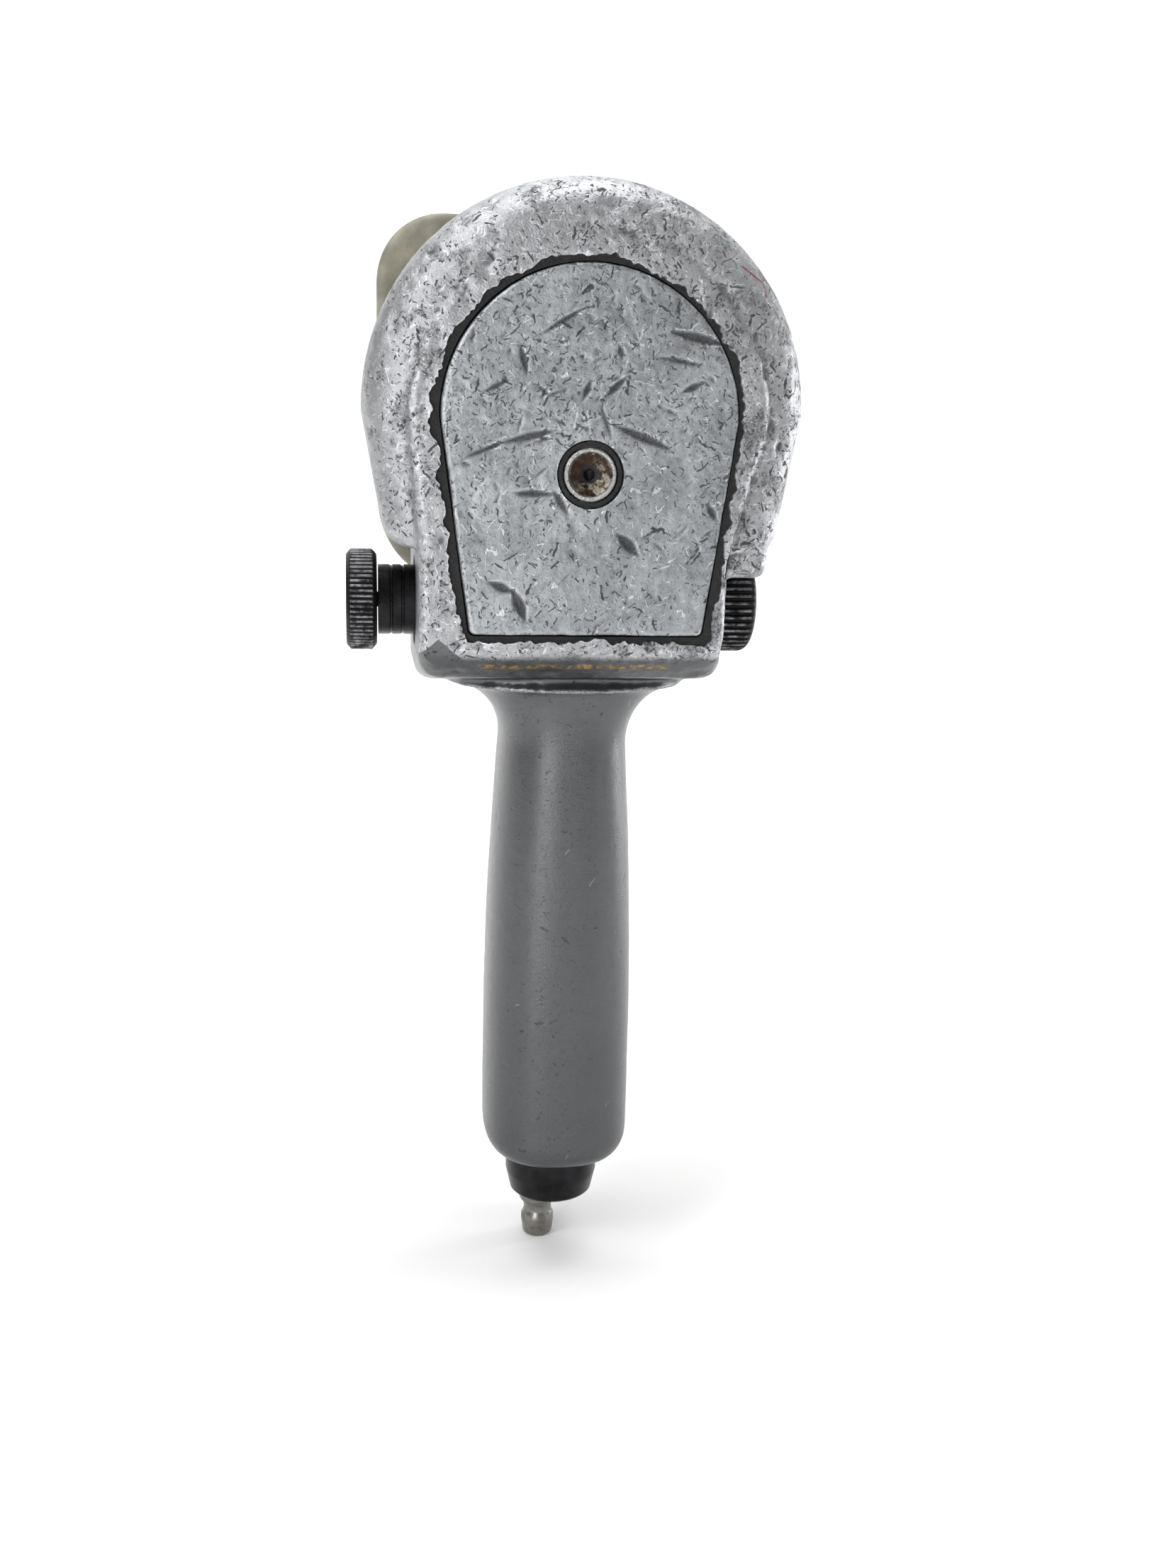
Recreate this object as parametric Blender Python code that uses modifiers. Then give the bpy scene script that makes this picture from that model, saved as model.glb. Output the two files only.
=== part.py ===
"""Pneumatic pistol-grip impact wrench, as an assembly of separate pieces.

Frame: the origin is on the drive axis at the outer face of the rear cover. +Y runs forward to the
square drive, +X is to the user's right and +Z is up. Sizes are in metres, written as n * MM.
"""

import math

import bmesh
import bpy
from mathutils import Vector

MM = 0.001

# Clearances
SEAT_GAP = 0.3 * MM
RUNNING_GAP = 0.2 * MM
HOLE_GAP = 0.3 * MM

# Motor housing: round head, horseshoe block and handle in one casting
HEAD_RADIUS = 44 * MM
HEAD_FRONT_RADIUS = 43 * MM
HEAD_FOOT_HALF_WIDTH = 40 * MM
HEAD_FOOT_Z = -27 * MM
HEAD_START_Y = 2 * MM
HEAD_DOME_LENGTH = 8.5 * MM
HOUSING_LENGTH = 62 * MM
LUG_DEPTH = 5.2 * MM
LUG_START_Y = 5 * MM
LUG_RIGHT_X = 38.3 * MM
LUG_ROUND = 2 * MM
LUG_KNOB_GAP = 0.8 * MM
BLOCK_LEFT_X = -33 * MM
BLOCK_RIGHT_X = 30.6 * MM
BLOCK_REAR_RIGHT_X = 27.2 * MM
BLOCK_RIGHT_SLOPE_Y = 17 * MM
BLOCK_KNEE_Z = -28 * MM
BLOCK_KNEE_SWELL = 0.7 * MM
BLOCK_CORNER = 4 * MM
BLOCK_FOOT_Z = -57 * MM
BLOCK_SLOPE_Y = 34 * MM
BLOCK_LENGTH = HOUSING_LENGTH - 8 * MM
BLOCK_EDGE_ROUND = 1 * MM
BLOCK_CHAMFER_Z = -52.8 * MM
BLOCK_CHAMFER_LENGTH = 7 * MM
FRAME_MARGIN = 4.4 * MM
FRAME_FOOT_MARGIN = 2.4 * MM
MOTOR_BORE_RADIUS = 27.8 * MM
REAR_WALL = 4 * MM

# Rear cover, its gasket and the grease fitting that clamps it
COVER_HALF_WIDTH = 29 * MM
COVER_ARCH_Z = -1.6 * MM
COVER_FOOT_HALF_WIDTH = 23.4 * MM
COVER_FOOT_Z = -43.3 * MM
COVER_CORNER = 1.2 * MM
COVER_THICKNESS = 4 * MM
GROOVE_WIDTH = 2 * MM
GASKET_THICKNESS = 1 * MM
GASKET_RECESS = 1.1 * MM
FITTING_Z = -12 * MM
FITTING_HEAD_RADIUS = 5.2 * MM
FITTING_HEAD_HEIGHT = 3 * MM
FITTING_SEAL_WIDTH = 0.8 * MM
FITTING_THREAD_RADIUS = 2.5 * MM
FITTING_THREAD_LENGTH = 7 * MM
FITTING_PORT_RADIUS = 1.1 * MM

# Handle
HANDLE_Y = 37.5 * MM
HANDLE_HALF_DEPTH = 20 * MM
HANDLE_ROOT_HEIGHT = 8 * MM
HANDLE_ROOT_INSET = 3 * MM
NECK_HALF_WIDTH = 13.9 * MM
GRIP_HALF_WIDTH = 16.6 * MM
FILLET_WIDTH = 12 * MM
FILLET_HEIGHT = 13 * MM
FILLET_DEPTH = 3 * MM
GRIP_Z = -135 * MM
HANDLE_END_ROUND = 6 * MM
HANDLE_END_INSET = 4.5 * MM
HANDLE_END_Z = -167.7 * MM
HANDLE_SQUARENESS = 2.6

# Air passages in the handle
INLET_Y = 40 * MM
INLET_RADIUS = 8 * MM
INLET_TOP_Z = -62 * MM
RISER_Y = 36 * MM
RISER_RADIUS = 4.5 * MM
EXHAUST_Y = 23.4 * MM
EXHAUST_RADIUS = 3 * MM

# Reversing valve: spool across the block with a knob on each end
SPOOL_Y = 30 * MM
SPOOL_Z = -39.4 * MM
SPOOL_RADIUS = 7.4 * MM
SPOOL_WAIST_RADIUS = 5.2 * MM
SPOOL_TRAVEL = 7.6 * MM
SPOOL_BORE_RADIUS = 3.4 * MM
SLEEVE_WALL = 1.7 * MM
SLEEVE_INSET = 0.6 * MM
KNOB_RADIUS = 10.6 * MM
KNOB_WIDTH = 6.4 * MM
REGULATOR_WIDTH = 8.8 * MM
REGULATOR_ROUND = 1.6 * MM
KNOB_CHAMFER = 0.7 * MM
KNOB_SCREW_RADIUS = 1.6 * MM
KNOB_SCREW_HEAD_RADIUS = 3.2 * MM
KNOB_SCREW_HEAD_HEIGHT = 1.6 * MM
KNOB_COUNTERBORE_DEPTH = 2.4 * MM
PORT_X = 13 * MM
PORT_RADIUS = 2.2 * MM
LEFT_RING_X = -29 * MM
RIGHT_RING_X = 26.6 * MM
RING_THICKNESS = 1.1 * MM
DETENT_X = 20 * MM
DETENT_BALL_RADIUS = 1.5 * MM
DETENT_BORE_RADIUS = 1.9 * MM
DETENT_SCREW_LENGTH = 4 * MM

# Vane motor
PLATE_THICKNESS = 8 * MM
LINER_LENGTH = 35 * MM
LINER_BORE_RADIUS = 22.5 * MM
LINER_OFFSET = 2 * MM
ROTOR_RADIUS = 19.8 * MM
ROTOR_END_GAP = 0.4 * MM
SHAFT_RADIUS = 5 * MM
BEARING_RADIUS = 11 * MM
BEARING_WIDTH = 6 * MM
VANE_COUNT = 6
VANE_THICKNESS = 2 * MM
VANE_HEIGHT = 8 * MM
VANE_OUT = 0.3 * MM
DOWEL_RADIUS = 1.5 * MM

# Hammer case and its bolts
CASE_GASKET_THICKNESS = 0.8 * MM
CASE_HALF_WIDTH = 40.2 * MM
CASE_TOP_Z = 43.5 * MM
CASE_FOOT_Z = -39.7 * MM
CASE_TOP_CORNER = 15 * MM
CASE_FOOT_CORNER = 20 * MM
CASE_FLANGE_LENGTH = 11 * MM
CASE_BODY_RADIUS = 34 * MM
CASE_CAVITY_MARGIN = 1.5 * MM
CASE_FRONT_WALL = 3 * MM
CASE_SHOULDER_LENGTH = 10 * MM
CASE_NOSE_LENGTH = 12 * MM
CASE_NOSE_RADIUS = 19.5 * MM
CASE_BORE_RADIUS = 30 * MM
BOLT_OFFSET = 27.2 * MM
BOLT_FOOT_Z = -24.2 * MM
BOLT_RADIUS = 2.5 * MM
BOLT_HEAD_RADIUS = 4.2 * MM
BOLT_HEAD_HEIGHT = 5 * MM
BOLT_DEPTH = 20 * MM

# Hammer cage, hammers and anvil
CAGE_RADIUS = 29.4 * MM
CAGE_DISC = 7 * MM
CAGE_START_Y = HOUSING_LENGTH + 6 * MM
CAGE_WEB_WIDTH = 17 * MM
CAGE_LIP = 0.6 * MM
HAMMER_LENGTH = 25 * MM
HAMMER_OUTER_RADIUS = 26 * MM
HAMMER_INNER_RADIUS = 16 * MM
HAMMER_GAP = 1 * MM
HAMMER_ROCK = math.radians(2.5)
DOG_WIDTH = 6 * MM
DOG_HEIGHT = 2.6 * MM
PIN_RADIUS = 2.5 * MM
PIN_OFFSET = 22 * MM
ANVIL_CORE_RADIUS = 10.8 * MM
ANVIL_JAW_RADIUS = 14.4 * MM
ANVIL_JAW_WIDTH = 6 * MM
ANVIL_TAIL_RADIUS = 6 * MM
ANVIL_JOURNAL_RADIUS = 12.5 * MM
BUSH_WALL = 2.5 * MM
SEAL_LENGTH = 3 * MM
SQUARE_SIDE = 19.05 * MM
SQUARE_LENGTH = 26 * MM
SQUARE_GROOVE_FROM_END = 6 * MM
SQUARE_CORNER_RADIUS = 11.6 * MM

# Trigger and throttle
TRIGGER_Z = -77 * MM
TRIGGER_TRAVEL = 5 * MM
TRIGGER_HALF_WIDTH = 6.5 * MM
TRIGGER_HEIGHT = 25 * MM
TRIGGER_THICKNESS = 5 * MM
ROD_RADIUS = 2 * MM
BUSH_RADIUS = 4 * MM
SEAT_Z = -95 * MM
SEAT_HEIGHT = 3 * MM
SEAT_HOLE_RADIUS = 4.8 * MM
VALVE_RADIUS = 6.5 * MM
VALVE_HEIGHT = 2.4 * MM
VALVE_STEM_RADIUS = 1.3 * MM
VALVE_STEM_ABOVE_ROD = 1 * MM
VALVE_STEM_TAPER = 1.2 * MM
THROTTLE_SPRING_LENGTH = 22 * MM
THROTTLE_SPRING_RADIUS = 4.6 * MM
THROTTLE_SPRING_WIRE = 0.5 * MM
THROTTLE_SPRING_TURNS = 5

# Inlet
SCREEN_LENGTH = 14 * MM
SCREEN_RADIUS = 6.2 * MM
SCREEN_WALL = 0.8 * MM
COLLAR_RADIUS = 10.8 * MM
COLLAR_HEIGHT = 13.3 * MM
COLLAR_TAPER = 1.2 * MM
COLLAR_THREAD_LENGTH = 14 * MM
COLLAR_THREAD_GAP = 0.3 * MM
NIPPLE_X = -3 * MM
NIPPLE_THREAD_RADIUS = 4 * MM
NIPPLE_THREAD_LENGTH = 6 * MM
NIPPLE_SHOULDER_RADIUS = 4.5 * MM
NIPPLE_NECK_RADIUS = 3.3 * MM
NIPPLE_TIP_RADIUS = 3.9 * MM
NIPPLE_BORE_RADIUS = 1.9 * MM
NIPPLE_LENGTH = 11.5 * MM

# Places that follow from the sizes above
COVER_RECESS = COVER_THICKNESS + SEAT_GAP + GASKET_THICKNESS + SEAT_GAP
MOTOR_START_Y = COVER_RECESS + REAR_WALL
LINER_START_Y = MOTOR_START_Y + SEAT_GAP + PLATE_THICKNESS + SEAT_GAP
LINER_END_Y = LINER_START_Y + LINER_LENGTH
CASE_START_Y = HOUSING_LENGTH + SEAT_GAP + CASE_GASKET_THICKNESS + SEAT_GAP
HAMMER_START_Y = CAGE_START_Y + CAGE_DISC + HAMMER_GAP
CAGE_INNER_END_Y = HAMMER_START_Y + 2 * HAMMER_LENGTH + 2 * HAMMER_GAP
CAGE_END_Y = CAGE_INNER_END_Y + CAGE_DISC
CASE_BODY_END_Y = CAGE_END_Y + CASE_FRONT_WALL
CASE_END_Y = CASE_BODY_END_Y + CASE_SHOULDER_LENGTH + CASE_NOSE_LENGTH
SLEEVE_RADIUS = SPOOL_RADIUS + RUNNING_GAP + SLEEVE_WALL
KNOB_LEFT_X = BLOCK_LEFT_X - SEAT_GAP - SPOOL_TRAVEL
KNOB_RIGHT_X = BLOCK_RIGHT_X + SEAT_GAP
VALVE_TOP_Z = SEAT_Z - SEAT_HEIGHT - SEAT_GAP
COLLAR_TOP_Z = HANDLE_END_Z - SEAT_GAP
NIPPLE_TOP_Z = COLLAR_TOP_Z - COLLAR_HEIGHT - SEAT_GAP
SQUARE_START_Y = CASE_END_Y + SEAL_LENGTH + 3 * MM
DRIVE_END_Y = SQUARE_START_Y + SQUARE_LENGTH

LARGE_ROUND = 32
ROUND = 24
SMALL_ROUND = 14
ARCH_STEPS = 20
HANDLE_POINTS = 20
CASE_CORNER_STEPS = 5
SPRING_STEPS = 8
TURN = {
    "X": (0, math.pi / 2, 0),
    "Y": (-math.pi / 2, 0, 0),
    "Z": (0, 0, 0),
}


def new_collection(name):
    collection = bpy.data.collections.new(name)
    bpy.context.scene.collection.children.link(collection)
    return collection


def material(name, colour, metallic, roughness):
    made = bpy.data.materials.new(name)
    made.use_nodes = True
    shader = made.node_tree.nodes["Principled BSDF"]
    shader.inputs["Base Color"].default_value = (*colour, 1)
    shader.inputs["Metallic"].default_value = metallic
    shader.inputs["Roughness"].default_value = roughness
    made.diffuse_color = (*colour, 1)
    return made


def place(name, mesh, finish):
    """Adds a mesh as a piece of the tool or, where finish is None, as a hidden cutter."""
    piece = bpy.data.objects.new(name, mesh)
    if finish is None:
        cutters.objects.link(piece)
        piece.hide_render = True
        piece.display_type = "WIRE"
    else:
        wrench.objects.link(piece)
        mesh.materials.append(finish)
    return piece


def smooth(mesh):
    mesh.shade_smooth()
    mesh.set_sharp_from_angle(angle=math.radians(35))


def turned(name, profile, finish, axis="Z", at=(0, 0, 0), steps=ROUND):
    """Turns (radius, distance) points about an axis. The profile runs down the outer side, then up
    the bore if there is one."""
    mesh = bpy.data.meshes.new(name)
    points = [(radius, 0, along) for radius, along in profile]
    edges = [(i, i + 1) for i in range(len(points) - 1)]
    if profile[0][0] > 0:
        edges.append((len(points) - 1, 0))
    mesh.from_pydata(points, edges, [])
    piece = place(name, mesh, finish)
    piece.rotation_euler = TURN[axis]
    piece.location = at
    screw = piece.modifiers.new("turn", "SCREW")
    screw.steps = steps
    screw.render_steps = steps
    screw.use_merge_vertices = True
    screw.merge_threshold = 0.00002
    screw.use_smooth_shade = True
    return piece


def ring(name, outer, inner, start, end, finish, axis="Y", at=(0, 0, 0), steps=ROUND):
    profile = [(outer, end), (outer, start), (inner, start), (inner, end)]
    return turned(name, profile, finish, axis, at, steps)


def rod(name, radius, start, end, finish, axis="Y", at=(0, 0, 0), steps=SMALL_ROUND):
    profile = [(0, end), (radius, end), (radius, start), (0, start)]
    return turned(name, profile, finish, axis, at, steps)


def box(name, low, high, finish, edge=0.0):
    """A box between two corners, with its edges bevelled where edge is given."""
    low, high = Vector(low), Vector(high)
    shape = bmesh.new()
    bmesh.ops.create_cube(shape, size=1)
    bmesh.ops.scale(shape, vec=high - low, verts=shape.verts)
    mesh = bpy.data.meshes.new(name)
    shape.to_mesh(mesh)
    shape.free()
    piece = place(name, mesh, finish)
    piece.location = (low + high) / 2
    if edge:
        bevel = piece.modifiers.new("edges", "BEVEL")
        bevel.width = edge
        bevel.segments = 2
    return piece


def boolean(piece, operation, others):
    for other in others:
        step = piece.modifiers.new(other.name, "BOOLEAN")
        step.operation = operation
        step.object = other
        step.solver = "EXACT"


def cut(piece, *others):
    boolean(piece, "DIFFERENCE", others)


def join(piece, *others):
    boolean(piece, "UNION", others)


def arc(centre_x, centre_y, radius, start, end, steps):
    """Points on an arc from start to end, in degrees."""
    points = []
    for i in range(steps + 1):
        angle = math.radians(start + (end - start) * i / steps)
        points.append((centre_x + radius * math.cos(angle), centre_y + radius * math.sin(angle)))
    return points


def circle(radius):
    return arc(0, 0, radius, 0, 360, LARGE_ROUND)[:-1]


def horseshoe(half_width, arch_z, foot_left, foot_right, foot_z, corner):
    """An arch on two legs that lean in to a flat foot, as (x, z) points, counter-clockwise."""
    points = arc(0, arch_z, half_width, 0, 180, ARCH_STEPS)
    points += arc(foot_left + corner, foot_z + corner, corner, 180, 270, 3)
    points += arc(foot_right - corner, foot_z + corner, corner, 270, 360, 3)
    return points


def cover_outline(grow):
    """The cover's outline, moved out by grow."""
    foot = COVER_FOOT_HALF_WIDTH + grow
    return horseshoe(
        COVER_HALF_WIDTH + grow,
        COVER_ARCH_Z,
        -foot,
        foot,
        COVER_FOOT_Z - grow,
        COVER_CORNER + max(0, grow),
    )


def slab(name, outlines, start, end, finish):
    """A flat plate across the drive axis between two Y values. Later outlines are holes."""
    curve = bpy.data.curves.new(name, "CURVE")
    curve.dimensions = "2D"
    curve.fill_mode = "BOTH"
    curve.extrude = (end - start) / 2
    for outline in outlines:
        spline = curve.splines.new("POLY")
        spline.points.add(len(outline) - 1)
        for point, (x, z) in zip(spline.points, outline):
            point.co = (x, z, 0, 1)
        spline.use_cyclic_u = True
    drawn = bpy.data.objects.new(name, curve)
    wrench.objects.link(drawn)
    bpy.context.view_layer.update()
    graph = bpy.context.evaluated_depsgraph_get()
    mesh = bpy.data.meshes.new_from_object(drawn.evaluated_get(graph))
    bpy.data.objects.remove(drawn)
    bpy.data.curves.remove(curve)
    shape = bmesh.new()
    shape.from_mesh(mesh)
    bmesh.ops.remove_doubles(shape, verts=shape.verts, dist=0.00001)
    bmesh.ops.recalc_face_normals(shape, faces=shape.faces)
    shape.to_mesh(mesh)
    shape.free()
    mesh.materials.clear()
    piece = place(name, mesh, finish)
    piece.rotation_euler = (math.pi / 2, 0, 0)
    piece.location = (0, (start + end) / 2, 0)
    return piece


def loft(name, sections, finish):
    """A closed skin over sections that all have the same number of points."""
    shape = bmesh.new()
    rings = [[shape.verts.new(point) for point in section] for section in sections]
    count = len(rings[0])
    for here, after in zip(rings, rings[1:]):
        for i in range(count):
            j = (i + 1) % count
            shape.faces.new((here[i], here[j], after[j], after[i]))
    shape.faces.new(reversed(rings[0]))
    shape.faces.new(rings[-1])
    bmesh.ops.recalc_face_normals(shape, faces=shape.faces)
    mesh = bpy.data.meshes.new(name)
    shape.to_mesh(mesh)
    shape.free()
    smooth(mesh)
    return place(name, mesh, finish)


def across(outline, y):
    return [(x, y, z) for x, z in outline]


def spring(name, radius, wire, turns, start, end, finish, axis, at):
    """A helical spring of round wire between two places on its axis."""
    curve = bpy.data.curves.new(name, "CURVE")
    curve.dimensions = "3D"
    curve.bevel_depth = wire
    curve.bevel_resolution = 0
    curve.use_fill_caps = True
    spline = curve.splines.new("POLY")
    steps = SPRING_STEPS * turns
    spline.points.add(steps)
    low = start + wire
    high = end - wire
    for i, point in enumerate(spline.points):
        angle = 2 * math.pi * turns * i / steps
        along = low + (high - low) * i / steps
        point.co = (radius * math.cos(angle), radius * math.sin(angle), along, 1)
    piece = bpy.data.objects.new(name, curve)
    curve.materials.append(finish)
    wrench.objects.link(piece)
    piece.rotation_euler = TURN[axis]
    piece.location = at
    return piece


def head_shape(name):
    """The round head: a dome that opens from the cover's frame to the full radius."""
    sections = []
    for step in range(7):
        angle = math.pi / 2 * step / 6
        swell = math.sin(angle)
        y = HEAD_START_Y + HEAD_DOME_LENGTH * (1 - math.cos(angle))
        inset = (HEAD_RADIUS - COVER_HALF_WIDTH - GROOVE_WIDTH - FRAME_MARGIN) * (1 - swell)
        sections.append((y, inset))
    sections.append((HOUSING_LENGTH - 6 * MM, 0))
    sections.append((HOUSING_LENGTH, HEAD_RADIUS - HEAD_FRONT_RADIUS))
    outlines = [
        across(
            horseshoe(
                HEAD_RADIUS - inset,
                0,
                inset - HEAD_FOOT_HALF_WIDTH,
                HEAD_FOOT_HALF_WIDTH - inset,
                HEAD_FOOT_Z,
                BLOCK_CORNER,
            ),
            y,
        )
        for y, inset in sections
    ]
    return loft(name, outlines, aluminium)


def block_foot_z(y):
    """Height of the block's underside, which slopes down from its rear chamfer."""
    share = min(1, (y - BLOCK_CHAMFER_LENGTH) / (BLOCK_SLOPE_Y - BLOCK_CHAMFER_LENGTH))
    return BLOCK_CHAMFER_Z + (BLOCK_FOOT_Z - BLOCK_CHAMFER_Z) * share


def block_shape(name):
    """The horseshoe block round the cover and the reversing valve, with a chamfer under its rear
    and a right side that leans in towards the rear. Its sides are upright below the knees."""
    frame_foot = COVER_FOOT_Z - GROOVE_WIDTH - FRAME_FOOT_MARGIN
    sections = []
    for y, inset, foot_z in (
        (0, BLOCK_EDGE_ROUND, frame_foot + BLOCK_EDGE_ROUND),
        (BLOCK_EDGE_ROUND * 0.4, BLOCK_EDGE_ROUND * 0.3, frame_foot),
        (BLOCK_EDGE_ROUND, 0, frame_foot - BLOCK_EDGE_ROUND / 2),
        (BLOCK_CHAMFER_LENGTH, 0, BLOCK_CHAMFER_Z),
        (BLOCK_RIGHT_SLOPE_Y, 0, block_foot_z(BLOCK_RIGHT_SLOPE_Y)),
        (BLOCK_SLOPE_Y, 0, BLOCK_FOOT_Z),
        (BLOCK_LENGTH, 0, BLOCK_FOOT_Z),
    ):
        lean = min(1, y / BLOCK_RIGHT_SLOPE_Y)
        right = BLOCK_REAR_RIGHT_X + (BLOCK_RIGHT_X - BLOCK_REAR_RIGHT_X) * lean
        outline = horseshoe(
            COVER_HALF_WIDTH + GROOVE_WIDTH + FRAME_MARGIN - inset,
            COVER_ARCH_Z,
            BLOCK_LEFT_X + inset,
            right - inset,
            foot_z,
            BLOCK_CORNER,
        )
        outline.insert(ARCH_STEPS + 1, (BLOCK_LEFT_X + inset, BLOCK_KNEE_Z))
        outline.append((right - inset + BLOCK_KNEE_SWELL * (1 - lean), BLOCK_KNEE_Z))
        sections.append(across(outline, y))
    return loft(name, sections, None)


def handle_section(z, half_width, half_depth):
    """A rounded rectangle across the handle at one height."""
    section = []
    for i in range(HANDLE_POINTS):
        angle = 2 * math.pi * i / HANDLE_POINTS
        c, s = math.cos(angle), math.sin(angle)
        power = 2 / HANDLE_SQUARENESS
        x = half_width * math.copysign(abs(c) ** power, c)
        y = HANDLE_Y + half_depth * math.copysign(abs(s) ** power, s)
        section.append((x, y, z))
    return section


def handle_shape(name):
    """Neck and grip: a fillet out of the block, a slim neck and a fuller grip with a rounded end."""
    root_z = BLOCK_FOOT_Z + HANDLE_ROOT_HEIGHT
    root_half_depth = HANDLE_HALF_DEPTH - HANDLE_ROOT_INSET
    sections = [handle_section(root_z, NECK_HALF_WIDTH + FILLET_WIDTH, root_half_depth)]
    for step in range(6):
        angle = math.pi / 2 * step / 5
        flare = 1 - math.sin(angle)
        z = BLOCK_FOOT_Z - FILLET_HEIGHT * (1 - math.cos(angle))
        half = NECK_HALF_WIDTH + FILLET_WIDTH * flare
        sections.append(handle_section(z, half, HANDLE_HALF_DEPTH + FILLET_DEPTH * flare))
    neck_z = BLOCK_FOOT_Z - FILLET_HEIGHT
    for share in (0.35, 0.7, 1.0):
        z = neck_z + (GRIP_Z - neck_z) * share
        half = NECK_HALF_WIDTH + (GRIP_HALF_WIDTH - NECK_HALF_WIDTH) * math.sin(math.pi / 2 * share)
        sections.append(handle_section(z, half, HANDLE_HALF_DEPTH))
    for step in range(4):
        angle = math.pi / 2 * step / 3
        z = HANDLE_END_Z + HANDLE_END_ROUND * (1 - math.sin(angle))
        inset = HANDLE_END_INSET * (1 - math.cos(angle))
        sections.append(handle_section(z, GRIP_HALF_WIDTH - inset, HANDLE_HALF_DEPTH - inset))
    return loft(name, sections, None)


def make_housing():
    housing = head_shape("motor_housing")
    lug = box(
        "right_lug_form",
        (BLOCK_REAR_RIGHT_X - LUG_ROUND, LUG_START_Y, HEAD_FOOT_Z - LUG_DEPTH),
        (LUG_RIGHT_X, SPOOL_Y - KNOB_RADIUS - LUG_KNOB_GAP, HEAD_FOOT_Z + LUG_DEPTH),
        None,
        LUG_ROUND,
    )
    join(housing, block_shape("block_form"), handle_shape("handle_form"), lug)
    recess = slab("cover_recess", [cover_outline(GROOVE_WIDTH)], -5 * MM, COVER_RECESS, None)
    motor_bore = rod(
        "motor_bore",
        MOTOR_BORE_RADIUS,
        MOTOR_START_Y,
        HOUSING_LENGTH + 5 * MM,
        None,
        steps=LARGE_ROUND,
    )
    fitting_hole = rod(
        "fitting_hole",
        FITTING_THREAD_RADIUS + HOLE_GAP,
        -5 * MM,
        MOTOR_START_Y + 1 * MM,
        None,
        at=(0, 0, FITTING_Z),
    )
    sleeve_bore = rod(
        "sleeve_bore",
        SLEEVE_RADIUS + SEAT_GAP,
        -60 * MM,
        60 * MM,
        None,
        "X",
        (0, SPOOL_Y, SPOOL_Z),
        ROUND,
    )
    inlet_bore = rod(
        "inlet_bore",
        INLET_RADIUS,
        HANDLE_END_Z - 5 * MM,
        INLET_TOP_Z,
        None,
        "Z",
        (0, INLET_Y, 0),
        ROUND,
    )
    riser = rod("riser_bore", RISER_RADIUS, INLET_TOP_Z - 1 * MM, SPOOL_Z, None, "Z", (0, RISER_Y, 0))
    exhaust = rod(
        "exhaust_bore",
        EXHAUST_RADIUS,
        HANDLE_END_Z - 5 * MM,
        SPOOL_Z,
        None,
        "Z",
        (0, EXHAUST_Y, 0),
    )
    detent_bore = rod(
        "detent_bore",
        DETENT_BORE_RADIUS,
        SPOOL_Y,
        BLOCK_LENGTH + 1 * MM,
        None,
        "Y",
        (DETENT_X, 0, SPOOL_Z),
    )
    bush_bore = rod(
        "bush_bore",
        BUSH_RADIUS + SEAT_GAP,
        INLET_Y,
        HANDLE_Y + HANDLE_HALF_DEPTH + 10 * MM,
        None,
        "Y",
        (0, 0, TRIGGER_Z),
    )
    dowel_hole = rod(
        "housing_dowel_hole",
        DOWEL_RADIUS + HOLE_GAP,
        MOTOR_START_Y - 2 * MM,
        MOTOR_START_Y + 1 * MM,
        None,
        at=(0, 0, MOTOR_BORE_RADIUS - 3 * MM),
        steps=12,
    )
    cut(
        housing,
        recess,
        motor_bore,
        fitting_hole,
        sleeve_bore,
        inlet_bore,
        riser,
        exhaust,
        detent_bore,
        bush_bore,
        dowel_hole,
    )
    for side, x in (("left", -PORT_X), ("right", PORT_X)):
        at = (x, SPOOL_Y, 0)
        cut(housing, rod(f"motor_port_{side}", PORT_RADIUS, SPOOL_Z, -20 * MM, None, "Z", at, 12))
    for number, (x, z) in enumerate(bolt_places(), 1):
        tapped = rod(
            f"tapped_hole_{number}",
            BOLT_RADIUS + HOLE_GAP,
            HOUSING_LENGTH - BOLT_DEPTH,
            HOUSING_LENGTH + 5 * MM,
            None,
            at=(x, 0, z),
            steps=12,
        )
        cut(housing, tapped)
    return housing


def bolt_places():
    return (
        (BOLT_OFFSET, BOLT_OFFSET),
        (-BOLT_OFFSET, BOLT_OFFSET),
        (-BOLT_OFFSET, BOLT_FOOT_Z),
        (BOLT_OFFSET, BOLT_FOOT_Z),
    )


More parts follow.
